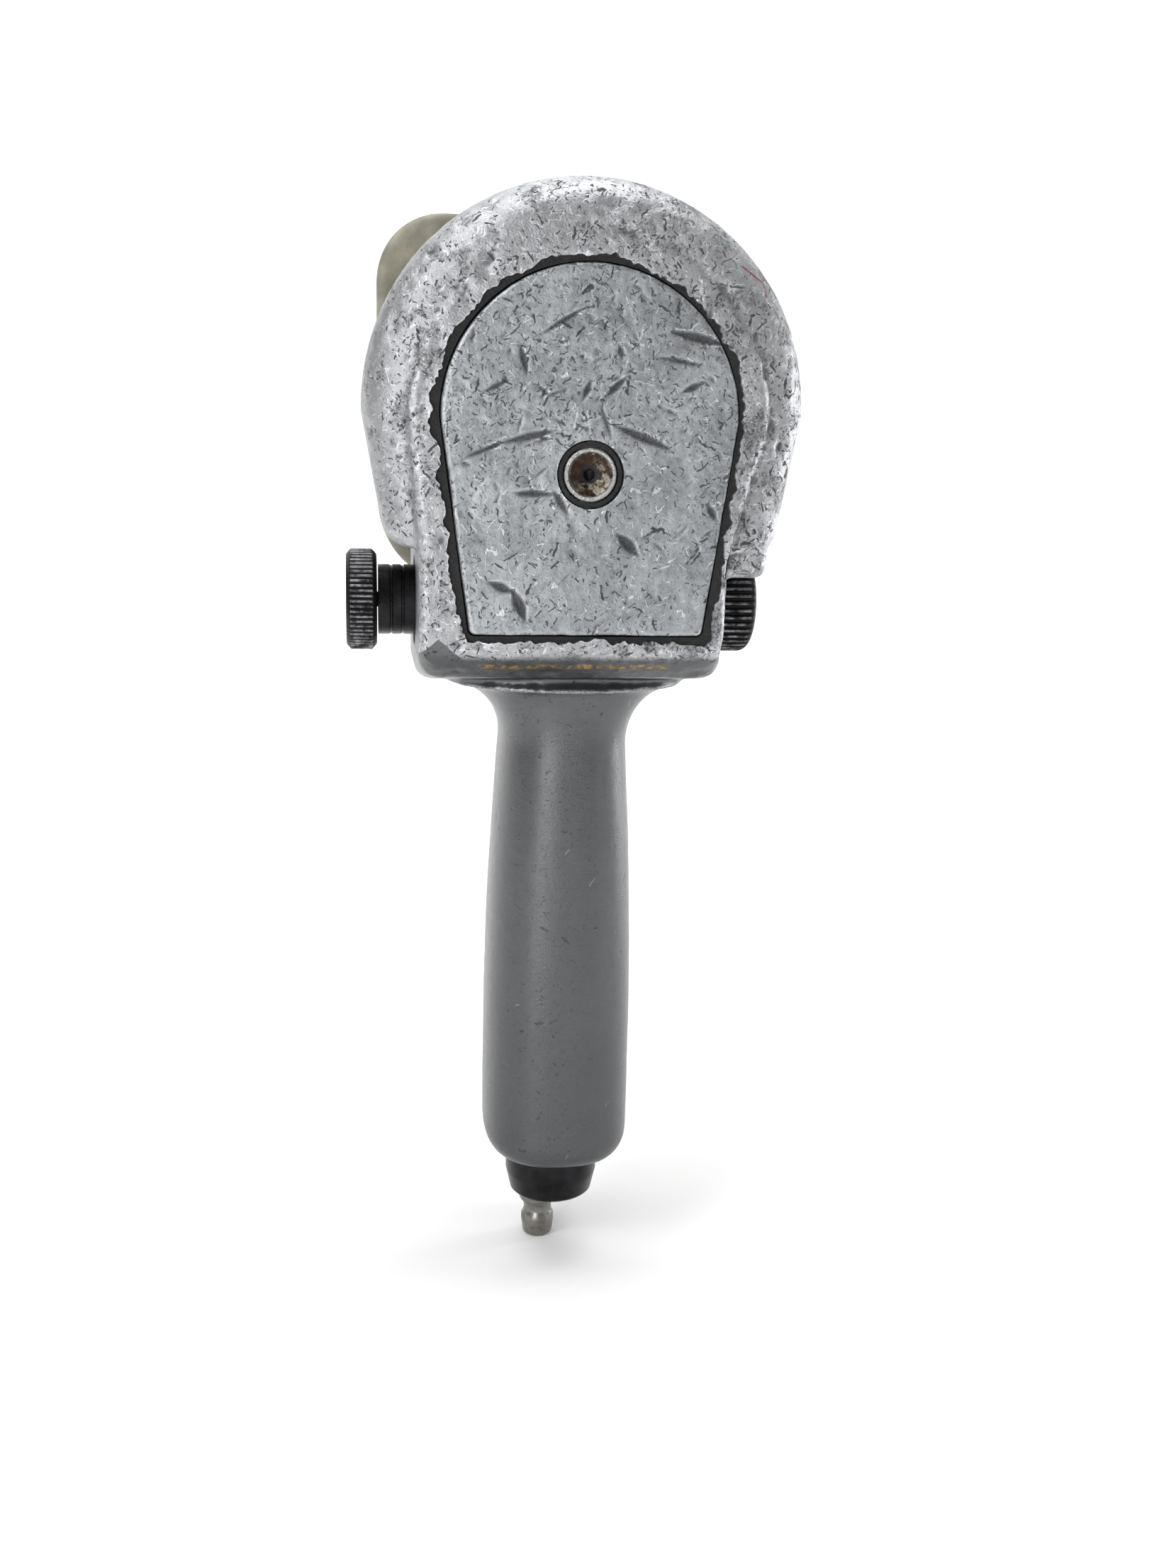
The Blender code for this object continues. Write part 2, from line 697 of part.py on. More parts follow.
def make_cover():
    cover = slab("rear_cover", [cover_outline(0)], 0, COVER_THICKNESS, worn_aluminium)
    bevel = cover.modifiers.new("edge", "BEVEL")
    bevel.width = 0.5 * MM
    bevel.segments = 1
    bevel.limit_method = "ANGLE"
    seal_outer = FITTING_HEAD_RADIUS + SEAT_GAP + FITTING_SEAL_WIDTH
    pocket = rod(
        "fitting_pocket",
        seal_outer + SEAT_GAP,
        -1 * MM,
        FITTING_HEAD_HEIGHT,
        None,
        at=(0, 0, FITTING_Z),
        steps=ROUND,
    )
    shank = rod(
        "cover_fitting_hole",
        FITTING_THREAD_RADIUS + HOLE_GAP,
        -1 * MM,
        COVER_THICKNESS + 1 * MM,
        None,
        at=(0, 0, FITTING_Z),
    )
    cut(cover, pocket, shank)
    start = GASKET_RECESS
    end = COVER_THICKNESS + SEAT_GAP + GASKET_THICKNESS
    gasket = slab("rear_gasket", [cover_outline(GROOVE_WIDTH - SEAT_GAP)], start, end, black_rubber)
    cut(
        gasket,
        slab("gasket_step", [cover_outline(SEAT_GAP)], -1 * MM, COVER_THICKNESS + SEAT_GAP, None),
        slab("gasket_window", [cover_outline(-4 * MM)], 0, 10 * MM, None),
    )
    top = FITTING_HEAD_HEIGHT - SEAT_GAP
    profile = [
        (0, FITTING_THREAD_LENGTH),
        (FITTING_PORT_RADIUS * 1.6, FITTING_THREAD_LENGTH),
        (FITTING_THREAD_RADIUS, FITTING_THREAD_LENGTH - 0.6 * MM),
        (FITTING_THREAD_RADIUS, top),
        (FITTING_HEAD_RADIUS, top),
        (FITTING_HEAD_RADIUS, 0.6 * MM),
        (FITTING_HEAD_RADIUS - 0.3 * MM, 0.3 * MM),
        (FITTING_HEAD_RADIUS - 0.9 * MM, 0.3 * MM),
        (FITTING_PORT_RADIUS, 2.2 * MM),
        (FITTING_PORT_RADIUS, FITTING_THREAD_LENGTH - 2 * MM),
        (0, FITTING_THREAD_LENGTH - 2 * MM),
    ]
    turned("grease_fitting", profile, steel, "Y", (0, 0, FITTING_Z))
    inner = FITTING_HEAD_RADIUS + SEAT_GAP
    ring(
        "fitting_seal",
        inner + FITTING_SEAL_WIDTH,
        inner,
        0.8 * MM,
        top,
        black_rubber,
        at=(0, 0, FITTING_Z),
        steps=ROUND,
    )


def make_motor():
    outer = MOTOR_BORE_RADIUS - SEAT_GAP
    rear = MOTOR_START_Y + SEAT_GAP
    pocket = BEARING_RADIUS + HOLE_GAP
    hole = SHAFT_RADIUS + 1 * MM
    web = 1.5 * MM
    turned(
        "rear_end_plate",
        [
            (outer, rear + PLATE_THICKNESS),
            (outer, rear),
            (pocket, rear),
            (pocket, rear + PLATE_THICKNESS - web),
            (hole, rear + PLATE_THICKNESS - web),
            (hole, rear + PLATE_THICKNESS),
        ],
        steel,
        "Y",
    )
    front = LINER_END_Y + SEAT_GAP
    plate_length = HOUSING_LENGTH - front
    turned(
        "front_end_plate",
        [
            (outer, HOUSING_LENGTH),
            (outer, front),
            (hole, front),
            (hole, front + web),
            (pocket, front + web),
            (pocket, HOUSING_LENGTH),
        ],
        steel,
        "Y",
    )
    bearing_hole = SHAFT_RADIUS + RUNNING_GAP
    bearing_end = rear + PLATE_THICKNESS - web - SEAT_GAP
    ring(
        "rear_bearing",
        BEARING_RADIUS,
        bearing_hole,
        bearing_end - BEARING_WIDTH,
        bearing_end,
        bearing_steel,
    )
    bearing_start = front + web + SEAT_GAP
    bearing_width = min(BEARING_WIDTH, plate_length - web - SEAT_GAP)
    ring(
        "front_bearing",
        BEARING_RADIUS,
        bearing_hole,
        bearing_start,
        bearing_start + bearing_width,
        bearing_steel,
    )
    liner = rod("cylinder_liner", outer, LINER_START_Y, LINER_END_Y, steel, steps=LARGE_ROUND)
    cut(
        liner,
        rod(
            "liner_bore",
            LINER_BORE_RADIUS,
            LINER_START_Y - 1 * MM,
            LINER_END_Y + 1 * MM,
            None,
            at=(0, 0, LINER_OFFSET),
            steps=LARGE_ROUND,
        ),
    )
    for side, x in (("left", -PORT_X), ("right", PORT_X)):
        at = (x, SPOOL_Y, 0)
        cut(liner, rod(f"liner_port_{side}", PORT_RADIUS, SPOOL_Z, -10 * MM, None, "Z", at, 12))
    dowel_z = MOTOR_BORE_RADIUS - 3 * MM
    dowel_hole = rod(
        "plate_dowel_hole",
        DOWEL_RADIUS + HOLE_GAP,
        rear - 1 * MM,
        LINER_START_Y + 6 * MM,
        None,
        at=(0, 0, -dowel_z),
        steps=12,
    )
    cut(bpy.data.objects["rear_end_plate"], dowel_hole)
    cut(liner, dowel_hole)
    rod(
        "liner_dowel",
        DOWEL_RADIUS,
        rear + 1 * MM,
        LINER_START_Y + 5 * MM,
        steel,
        at=(0, 0, -dowel_z),
        steps=12,
    )


def make_rotor():
    body_start = LINER_START_Y + ROTOR_END_GAP
    body_end = LINER_END_Y - ROTOR_END_GAP
    shaft_start = MOTOR_START_Y + 1 * MM
    drive_end = CAGE_START_Y + CAGE_DISC
    rotor = turned(
        "rotor",
        [
            (0, drive_end),
            (SHAFT_RADIUS, drive_end),
            (SHAFT_RADIUS, body_end),
            (ROTOR_RADIUS, body_end),
            (ROTOR_RADIUS, body_start),
            (SHAFT_RADIUS, body_start),
            (SHAFT_RADIUS, shaft_start),
            (0, shaft_start),
        ],
        steel,
        "Y",
        steps=ROUND,
    )
    slot_depth = VANE_HEIGHT + SEAT_GAP
    for number in range(VANE_COUNT):
        angle = 2 * math.pi * number / VANE_COUNT
        slot = vane_box(
            f"vane_slot_{number + 1}",
            angle,
            ROTOR_RADIUS - slot_depth,
            ROTOR_RADIUS + 5 * MM,
            VANE_THICKNESS + 2 * SEAT_GAP,
            body_start - 1 * MM,
            body_end + 1 * MM,
            None,
        )
        cut(rotor, slot)
        vane_box(
            f"vane_{number + 1}",
            angle,
            ROTOR_RADIUS + VANE_OUT - VANE_HEIGHT,
            ROTOR_RADIUS + VANE_OUT,
            VANE_THICKNESS,
            body_start,
            body_end,
            vane_resin,
        )


def vane_box(name, angle, inner, outer, thickness, start, end, finish):
    """A radial bar along the rotor, turned to its place round the drive axis."""
    piece = box(name, (-thickness / 2, start, inner), (thickness / 2, end, outer), finish)
    middle = (inner + outer) / 2
    piece.rotation_euler = (0, angle, 0)
    piece.location = (middle * math.sin(angle), (start + end) / 2, middle * math.cos(angle))
    return piece


def case_outline(inset):
    """The flange's outline, a square with larger corners at its foot, as (x, z) points."""
    side = CASE_HALF_WIDTH - inset
    top_z = CASE_TOP_Z - inset
    foot_z = CASE_FOOT_Z + inset
    top_x = side - CASE_TOP_CORNER
    foot_x = side - CASE_FOOT_CORNER
    top = top_z - CASE_TOP_CORNER
    foot = foot_z + CASE_FOOT_CORNER
    points = arc(top_x, top, CASE_TOP_CORNER, 0, 90, CASE_CORNER_STEPS)
    points += arc(-top_x, top, CASE_TOP_CORNER, 90, 180, CASE_CORNER_STEPS)
    points += arc(-foot_x, foot, CASE_FOOT_CORNER, 180, 270, CASE_CORNER_STEPS)
    points += arc(foot_x, foot, CASE_FOOT_CORNER, 270, 360, CASE_CORNER_STEPS)
    return points


def make_case():
    flange_end = CASE_START_Y + CASE_FLANGE_LENGTH
    sections = [
        across(case_outline(0.8 * MM), CASE_START_Y),
        across(case_outline(0), CASE_START_Y + 1 * MM),
        across(case_outline(0), flange_end - 1.5 * MM),
        across(case_outline(1.5 * MM), flange_end),
    ]
    flange = loft("hammer_case", sections, olive_case)
    body_top = CASE_END_Y
    body_profile = [
        (0, body_top),
        (CASE_NOSE_RADIUS - 1 * MM, body_top),
        (CASE_NOSE_RADIUS, body_top - 1 * MM),
        (CASE_NOSE_RADIUS + 0.5 * MM, body_top - 9 * MM),
    ]
    shoulder = CASE_BODY_RADIUS - CASE_NOSE_RADIUS - 1 * MM
    body_profile += [
        (
            CASE_NOSE_RADIUS + 1 * MM + shoulder * math.sin(math.radians(angle)),
            CASE_BODY_END_Y + CASE_SHOULDER_LENGTH * math.cos(math.radians(angle)),
        )
        for angle in (10, 35, 60, 90)
    ]
    body_profile += [
        (CASE_BODY_RADIUS, flange_end + 3 * MM),
        (CASE_BODY_RADIUS + 1.5 * MM, flange_end - 1 * MM),
        (CASE_BODY_RADIUS + 1.5 * MM, CASE_START_Y + 3 * MM),
        (0, CASE_START_Y + 3 * MM),
    ]
    body = turned("case_body_form", body_profile, None, "Y", steps=LARGE_ROUND)
    join(flange, body)
    cavity = turned(
        "case_cavity",
        [
            (0, CASE_END_Y + 5 * MM),
            (ANVIL_JOURNAL_RADIUS + RUNNING_GAP + BUSH_WALL + SEAT_GAP, CASE_END_Y + 5 * MM),
            (ANVIL_JOURNAL_RADIUS + RUNNING_GAP + BUSH_WALL + SEAT_GAP, CAGE_END_Y + CASE_CAVITY_MARGIN),
            (CASE_BORE_RADIUS, CAGE_END_Y + CASE_CAVITY_MARGIN),
            (CASE_BORE_RADIUS, CASE_START_Y - 5 * MM),
            (0, CASE_START_Y - 5 * MM),
        ],
        None,
        "Y",
        steps=LARGE_ROUND,
    )
    cut(flange, cavity)
    gasket = slab(
        "case_gasket",
        [circle(HEAD_FRONT_RADIUS - 1.5 * MM), circle(CASE_BORE_RADIUS)],
        HOUSING_LENGTH + SEAT_GAP,
        HOUSING_LENGTH + SEAT_GAP + CASE_GASKET_THICKNESS,
        gasket_paper,
    )
    for number, (x, z) in enumerate(bolt_places(), 1):
        hole = rod(
            f"case_bolt_hole_{number}",
            BOLT_RADIUS + HOLE_GAP,
            HOUSING_LENGTH - 2 * MM,
            flange_end + 5 * MM,
            None,
            at=(x, 0, z),
            steps=12,
        )
        spot = rod(
            f"bolt_spot_face_{number}",
            BOLT_HEAD_RADIUS + 0.6 * MM,
            flange_end - 2 * MM,
            flange_end + 14 * MM,
            None,
            at=(x, 0, z),
        )
        cut(flange, hole, spot)
        cut(gasket, hole)
        seat = flange_end - 2 * MM + SEAT_GAP
        turned(
            f"case_bolt_{number}",
            [
                (0, seat + 2 * MM),
                (2 * MM, seat + 2 * MM),
                (2 * MM, seat + BOLT_HEAD_HEIGHT),
                (BOLT_HEAD_RADIUS - 0.4 * MM, seat + BOLT_HEAD_HEIGHT),
                (BOLT_HEAD_RADIUS, seat + BOLT_HEAD_HEIGHT - 0.4 * MM),
                (BOLT_HEAD_RADIUS, seat),
                (BOLT_RADIUS, seat),
                (BOLT_RADIUS, HOUSING_LENGTH - BOLT_DEPTH + 2 * MM),
                (0, HOUSING_LENGTH - BOLT_DEPTH + 2 * MM),
            ],
            black_steel,
            "Y",
            (x, 0, z),
            12,
        )
    bush_inner = ANVIL_JOURNAL_RADIUS + RUNNING_GAP
    ring(
        "nose_bush",
        bush_inner + BUSH_WALL,
        bush_inner,
        CAGE_END_Y + 3 * MM,
        CASE_END_Y - SEAL_LENGTH - SEAT_GAP,
        bronze,
    )
    ring(
        "nose_seal",
        bush_inner + BUSH_WALL,
        bush_inner,
        CASE_END_Y - SEAL_LENGTH,
        CASE_END_Y - 0.2 * MM,
        black_rubber,
    )


def make_hammers():
    cage = rod("hammer_cage", CAGE_RADIUS, CAGE_START_Y, CAGE_END_Y, hammer_steel, steps=LARGE_ROUND)
    window = rod(
        "cage_window",
        HAMMER_OUTER_RADIUS + 1.4 * MM,
        CAGE_START_Y + CAGE_DISC,
        CAGE_INNER_END_Y,
        None,
        steps=LARGE_ROUND,
    )
    cut(cage, window)
    for side, sign in (("top", 1), ("bottom", -1)):
        half = CAGE_RADIUS + 2 * MM
        near, far = sorted((sign * CAGE_WEB_WIDTH / 2, sign * half))
        gap = box(
            f"cage_opening_{side}",
            (-half, CAGE_START_Y + CAGE_DISC + CAGE_LIP, near),
            (half, CAGE_INNER_END_Y - CAGE_LIP, far),
            None,
        )
        cut(cage, gap)
    spline = rod(
        "cage_spline_hole",
        SHAFT_RADIUS + SEAT_GAP,
        CAGE_START_Y - 1 * MM,
        CAGE_START_Y + 9 * MM,
        None,
    )
    front_hole = rod(
        "cage_front_hole",
        ANVIL_JOURNAL_RADIUS + 0.6 * MM,
        CAGE_INNER_END_Y - 1 * MM,
        CAGE_END_Y + 1 * MM,
        None,
        steps=ROUND,
    )
    cut(cage, spline, front_hole)
    pin_start = CAGE_START_Y + 1.5 * MM
    pin_end = CAGE_END_Y - 1.5 * MM
    for number, sign in ((1, 1), (2, -1)):
        place_at = (0, 0, sign * PIN_OFFSET)
        pin_hole = rod(
            f"cage_pin_hole_{number}",
            PIN_RADIUS + HOLE_GAP,
            pin_start - SEAT_GAP,
            CAGE_END_Y + 1 * MM,
            None,
            at=place_at,
            steps=16,
        )
        cut(cage, pin_hole)
        rod(f"hammer_pin_{number}", PIN_RADIUS, pin_start, pin_end, steel, at=place_at, steps=16)
    rear_end = HAMMER_START_Y + HAMMER_LENGTH
    make_hammer("rear_hammer", HAMMER_START_Y, rear_end, 1)
    make_hammer("front_hammer", rear_end + HAMMER_GAP / 2, CAGE_INNER_END_Y - HAMMER_GAP, -1)


def make_hammer(name, start, end, pin_side):
    """A ring that rocks on one pin, clears the other and carries a dog for the anvil's jaw."""
    hammer = rod(name, HAMMER_OUTER_RADIUS, start, end, hammer_steel, steps=ROUND)
    hollow = rod(f"{name}_hollow", HAMMER_INNER_RADIUS, start - 1 * MM, end + 1 * MM, None, steps=ROUND)
    pivot = rod(
        f"{name}_pivot_hole",
        PIN_RADIUS + RUNNING_GAP,
        start - 1 * MM,
        end + 1 * MM,
        None,
        at=(0, 0, pin_side * PIN_OFFSET),
        steps=16,
    )
    swing = 2 * PIN_OFFSET * math.sin(HAMMER_ROCK) + 0.5 * MM
    half = PIN_RADIUS + swing
    inside = PIN_OFFSET - PIN_RADIUS - 0.6 * MM
    outside = HAMMER_OUTER_RADIUS + 3 * MM
    near, far = sorted((-pin_side * inside, -pin_side * outside))
    notch = box(f"{name}_notch", (-half, start - 1 * MM, near), (half, end + 1 * MM, far), None)
    cut(hammer, hollow, pivot, notch)
    reach = HAMMER_INNER_RADIUS - DOG_HEIGHT
    low, high = sorted((pin_side * reach, pin_side * (HAMMER_INNER_RADIUS + 2 * MM)))
    dog = box(
        f"{name}_dog",
        (low, start + 2 * MM, -DOG_WIDTH / 2),
        (high, end - 2 * MM, DOG_WIDTH / 2),
        None,
    )
    join(hammer, dog)


def make_anvil():
    tail_start = CAGE_START_Y + CAGE_DISC + 0.5 * MM
    flange_end = CAGE_INNER_END_Y - 0.6 * MM
    anvil = turned(
        "anvil",
        [
            (0, SQUARE_START_Y + 1 * MM),
            (ANVIL_JOURNAL_RADIUS - 0.5 * MM, SQUARE_START_Y),
            (ANVIL_JOURNAL_RADIUS, SQUARE_START_Y - 1 * MM),
            (ANVIL_JOURNAL_RADIUS, flange_end),
            (ANVIL_CORE_RADIUS, flange_end),
            (ANVIL_CORE_RADIUS, HAMMER_START_Y + 1 * MM),
            (ANVIL_TAIL_RADIUS, HAMMER_START_Y + 1 * MM),
            (ANVIL_TAIL_RADIUS, tail_start),
            (0, tail_start),
        ],
        steel,
        "Y",
    )
    jaw_gap = 1 * MM
    for number, (angle, start) in enumerate(
        (
            (math.radians(40), HAMMER_START_Y + jaw_gap),
            (math.radians(220), HAMMER_START_Y + HAMMER_LENGTH + HAMMER_GAP + jaw_gap),
        ),
        1,
    ):
        jaw = vane_box(
            f"anvil_jaw_{number}",
            angle,
            ANVIL_CORE_RADIUS - 3 * MM,
            ANVIL_JAW_RADIUS,
            ANVIL_JAW_WIDTH,
            start,
            start + HAMMER_LENGTH - 3 * MM,
            None,
        )
        join(anvil, jaw)
    half = SQUARE_SIDE / 2
    square = box(
        "square_form",
        (-half, SQUARE_START_Y - 1 * MM, -half),
        (half, DRIVE_END_Y, half),
        None,
        0.8 * MM,
    )
    round_off = ring(
        "square_corner_cutter",
        20 * MM,
        SQUARE_CORNER_RADIUS,
        SQUARE_START_Y + 1 * MM,
        DRIVE_END_Y + 1 * MM,
        None,
    )
    groove_y = DRIVE_END_Y - SQUARE_GROOVE_FROM_END
    groove = ring(
        "ring_groove",
        20 * MM,
        SQUARE_SIDE / 2 + 0.2 * MM,
        groove_y - 1.6 * MM,
        groove_y + 1.6 * MM,
        None,
    )
    cut(square, round_off, groove)
    join(anvil, square)
    snap = SQUARE_SIDE / 2 + 0.5 * MM
    ring(
        "socket_ring",
        SQUARE_CORNER_RADIUS + 0.3 * MM,
        snap,
        groove_y - 1.2 * MM,
        groove_y + 1.2 * MM,
        steel,
        steps=ROUND,
    )


def make_reversing_valve():
    sleeve_left = BLOCK_LEFT_X + SLEEVE_INSET
    sleeve_right = BLOCK_RIGHT_X - SLEEVE_INSET
    inner = SPOOL_RADIUS + RUNNING_GAP
    groove = inner + RING_THICKNESS
    half_ring = RING_THICKNESS / 2 + SEAT_GAP
    sleeve_profile = [
        (SLEEVE_RADIUS, sleeve_right),
        (SLEEVE_RADIUS, sleeve_left),
        (inner, sleeve_left),
    ]
    for x in (LEFT_RING_X, RIGHT_RING_X):
        sleeve_profile += [
            (inner, x - half_ring),
            (groove, x - half_ring),
            (groove, x + half_ring),
            (inner, x + half_ring),
        ]
    sleeve_profile.append((inner, sleeve_right))
    middle = (0, SPOOL_Y, SPOOL_Z)
    sleeve = turned("valve_sleeve", sleeve_profile, steel, "X", middle)
    port_end = SPOOL_Z - 20 * MM
    inlet_port = rod(
        "sleeve_inlet_port",
        RISER_RADIUS - 1 * MM,
        port_end,
        SPOOL_Z,
        None,
        "Z",
        (0, RISER_Y - 3 * MM, 0),
    )
    exhaust_port = rod(
        "sleeve_exhaust_port",
        EXHAUST_RADIUS - 0.8 * MM,
        port_end,
        SPOOL_Z,
        None,
        "Z",
        (0, EXHAUST_Y + 1 * MM, 0),
    )
    detent_port = rod(
        "sleeve_detent_port",
        DETENT_BORE_RADIUS,
        SPOOL_Y,
        SPOOL_Y + 20 * MM,
        None,
        "Y",
        (DETENT_X, 0, SPOOL_Z),
    )
    cut(sleeve, inlet_port, exhaust_port, detent_port)
    for side, x in (("left", -PORT_X), ("right", PORT_X)):
        at = (x, SPOOL_Y, 0)
        port = rod(f"sleeve_port_{side}", PORT_RADIUS, SPOOL_Z, SPOOL_Z + 20 * MM, None, "Z", at, 12)
        cut(sleeve, port)
    for number, x in ((1, LEFT_RING_X), (2, RIGHT_RING_X)):
        ring(
            f"spool_seal_{number}",
            inner + RING_THICKNESS - 0.15 * MM,
            inner,
            x - RING_THICKNESS / 2,
            x + RING_THICKNESS / 2,
            black_rubber,
            "X",
            middle,
        )
    left = KNOB_LEFT_X + SEAT_GAP
    right = KNOB_RIGHT_X - SEAT_GAP
    spool = turned(
        "reverse_spool",
        [
            (SPOOL_BORE_RADIUS, right),
            (SPOOL_RADIUS, right),
            (SPOOL_RADIUS, 6 * MM),
            (SPOOL_WAIST_RADIUS, 4 * MM),
            (SPOOL_WAIST_RADIUS, -6 * MM),
            (SPOOL_RADIUS, -8 * MM),
            (SPOOL_RADIUS, -14 * MM),
            (SPOOL_WAIST_RADIUS, -16 * MM),
            (SPOOL_WAIST_RADIUS, -24 * MM),
            (SPOOL_RADIUS, -26 * MM),
            (SPOOL_RADIUS, left),
            (KNOB_SCREW_RADIUS + HOLE_GAP, left),
            (KNOB_SCREW_RADIUS + HOLE_GAP, left + 10 * MM),
            (SPOOL_BORE_RADIUS, left + 12 * MM),
        ],
        black_steel,
        "X",
        middle,
    )
    key = DETENT_BALL_RADIUS + SEAT_GAP
    slot = box(
        "spool_key_slot",
        (DETENT_X - SPOOL_TRAVEL - key, SPOOL_Y + SPOOL_RADIUS - 1.6 * MM, SPOOL_Z - key),
        (DETENT_X + key, SPOOL_Y + SPOOL_RADIUS + 2 * MM, SPOOL_Z + key),
        None,
    )
    cut(spool, slot)
    turned(
        "push_knob",
        [
            (KNOB_SCREW_RADIUS + HOLE_GAP, 0),
            (KNOB_RADIUS - KNOB_CHAMFER, 0),
            (KNOB_RADIUS, -KNOB_CHAMFER),
            (KNOB_RADIUS, KNOB_CHAMFER - KNOB_WIDTH),
            (KNOB_RADIUS - KNOB_CHAMFER, -KNOB_WIDTH),
            (KNOB_SCREW_HEAD_RADIUS + HOLE_GAP, -KNOB_WIDTH),
            (KNOB_SCREW_HEAD_RADIUS + HOLE_GAP, KNOB_COUNTERBORE_DEPTH - KNOB_WIDTH),
            (KNOB_SCREW_RADIUS + HOLE_GAP, KNOB_COUNTERBORE_DEPTH - KNOB_WIDTH),
        ],
        black_steel,
        "X",
        (KNOB_LEFT_X, SPOOL_Y, SPOOL_Z),
        ROUND,
    )
    under_head = KNOB_COUNTERBORE_DEPTH - SEAT_GAP - KNOB_WIDTH
    head_top = under_head - KNOB_SCREW_HEAD_HEIGHT
    turned(
        "knob_screw",
        [
            (0, 8 * MM),
            (KNOB_SCREW_RADIUS, 8 * MM),
            (KNOB_SCREW_RADIUS, under_head),
            (KNOB_SCREW_HEAD_RADIUS, under_head),
            (KNOB_SCREW_HEAD_RADIUS, head_top),
            (1.3 * MM, head_top),
            (1.3 * MM, head_top + 1 * MM),
            (0, head_top + 1 * MM),
        ],
        black_steel,
        "X",
        (KNOB_LEFT_X, SPOOL_Y, SPOOL_Z),
        12,
    )
    stem = SPOOL_BORE_RADIUS - RUNNING_GAP
    turned(
        "regulator_stem",
        [
            (0, KNOB_RIGHT_X + 4 * MM),
            (stem - 0.8 * MM, KNOB_RIGHT_X + 4 * MM),
            (stem - 0.8 * MM, KNOB_RIGHT_X - SEAT_GAP),
            (stem, KNOB_RIGHT_X - SEAT_GAP),
            (stem, -20 * MM),
            (0, -20 * MM),
        ],
        steel,
        "X",
        middle,
        16,
    )
    turned(
        "regulator_knob",
        [
            (0, REGULATOR_WIDTH),
            (KNOB_RADIUS - REGULATOR_ROUND, REGULATOR_WIDTH),
            (KNOB_RADIUS, REGULATOR_WIDTH - REGULATOR_ROUND),
            (KNOB_RADIUS, KNOB_CHAMFER),
            (KNOB_RADIUS - KNOB_CHAMFER, 0),
            (stem - 0.8 * MM + HOLE_GAP, 0),
            (stem - 0.8 * MM + HOLE_GAP, 4 * MM + SEAT_GAP),
            (0, 4 * MM + SEAT_GAP),
        ],
        black_steel,
        "X",
        (KNOB_RIGHT_X, SPOOL_Y, SPOOL_Z),
        ROUND,
    )
    ball_y = SPOOL_Y + SPOOL_RADIUS - 1.3 * MM + DETENT_BALL_RADIUS
    make_ball("detent_ball", DETENT_BALL_RADIUS, (DETENT_X, ball_y, SPOOL_Z))
    screw_start = BLOCK_LENGTH - DETENT_SCREW_LENGTH - 0.5 * MM
    spring(
        "detent_spring",
        1.1 * MM,
        0.25 * MM,
        4,
        ball_y + DETENT_BALL_RADIUS + SEAT_GAP,
        screw_start - SEAT_GAP,
        steel,
        "Y",
        (DETENT_X, 0, SPOOL_Z),
    )
    rod(
        "detent_screw",
        DETENT_BORE_RADIUS - HOLE_GAP,
        screw_start,
        BLOCK_LENGTH - 0.5 * MM,
        black_steel,
        at=(DETENT_X, 0, SPOOL_Z),
        steps=12,
    )


def make_ball(name, radius, at):
    shape = bmesh.new()
    bmesh.ops.create_uvsphere(shape, u_segments=12, v_segments=8, radius=radius)
    mesh = bpy.data.meshes.new(name)
    shape.to_mesh(mesh)
    shape.free()
    smooth(mesh)
    piece = place(name, mesh, steel)
    piece.location = at


def make_trigger():
    front = HANDLE_Y + HANDLE_HALF_DEPTH
    paddle_back = front + TRIGGER_TRAVEL + 1.2 * MM
    sections = []
    for step in range(9):
        share = step / 8
        z = TRIGGER_Z - TRIGGER_HEIGHT / 2 + TRIGGER_HEIGHT * share
        hollow = 2.4 * MM * math.sin(math.pi * share)
        end = 0.72 + 0.28 * math.sin(math.pi * share) ** 0.5
        half = TRIGGER_HALF_WIDTH * end
        outline = []
        for i in range(12):
            angle = 2 * math.pi * i / 12
            c, s = math.cos(angle), math.sin(angle)
            x = half * math.copysign(abs(c) ** 0.7, c)
            y = TRIGGER_THICKNESS / 2 * math.copysign(abs(s) ** 0.7, s)
            outline.append((x, paddle_back + TRIGGER_THICKNESS / 2 + y - hollow + 2.4 * MM, z))
        sections.append(outline)
    paddle = loft("trigger", sections, black_plastic)
    rod_end = paddle_back + 4 * MM
    rod_hole = rod(
        "trigger_rod_hole",
        ROD_RADIUS + HOLE_GAP,
        paddle_back - 4 * MM,
        rod_end + SEAT_GAP,
        None,
        at=(0, 0, TRIGGER_Z),
    )
    cut(paddle, rod_hole)
    rod_start = INLET_Y + VALVE_STEM_RADIUS + SEAT_GAP
    rod("trigger_rod", ROD_RADIUS, rod_start, rod_end, steel, at=(0, 0, TRIGGER_Z), steps=16)
    ring(
        "trigger_bush",
        BUSH_RADIUS,
        ROD_RADIUS + RUNNING_GAP,
        INLET_Y + INLET_RADIUS + 0.5 * MM,
        front + 0.6 * MM,
        bronze,
        at=(0, 0, TRIGGER_Z),
        steps=ROUND,
    )


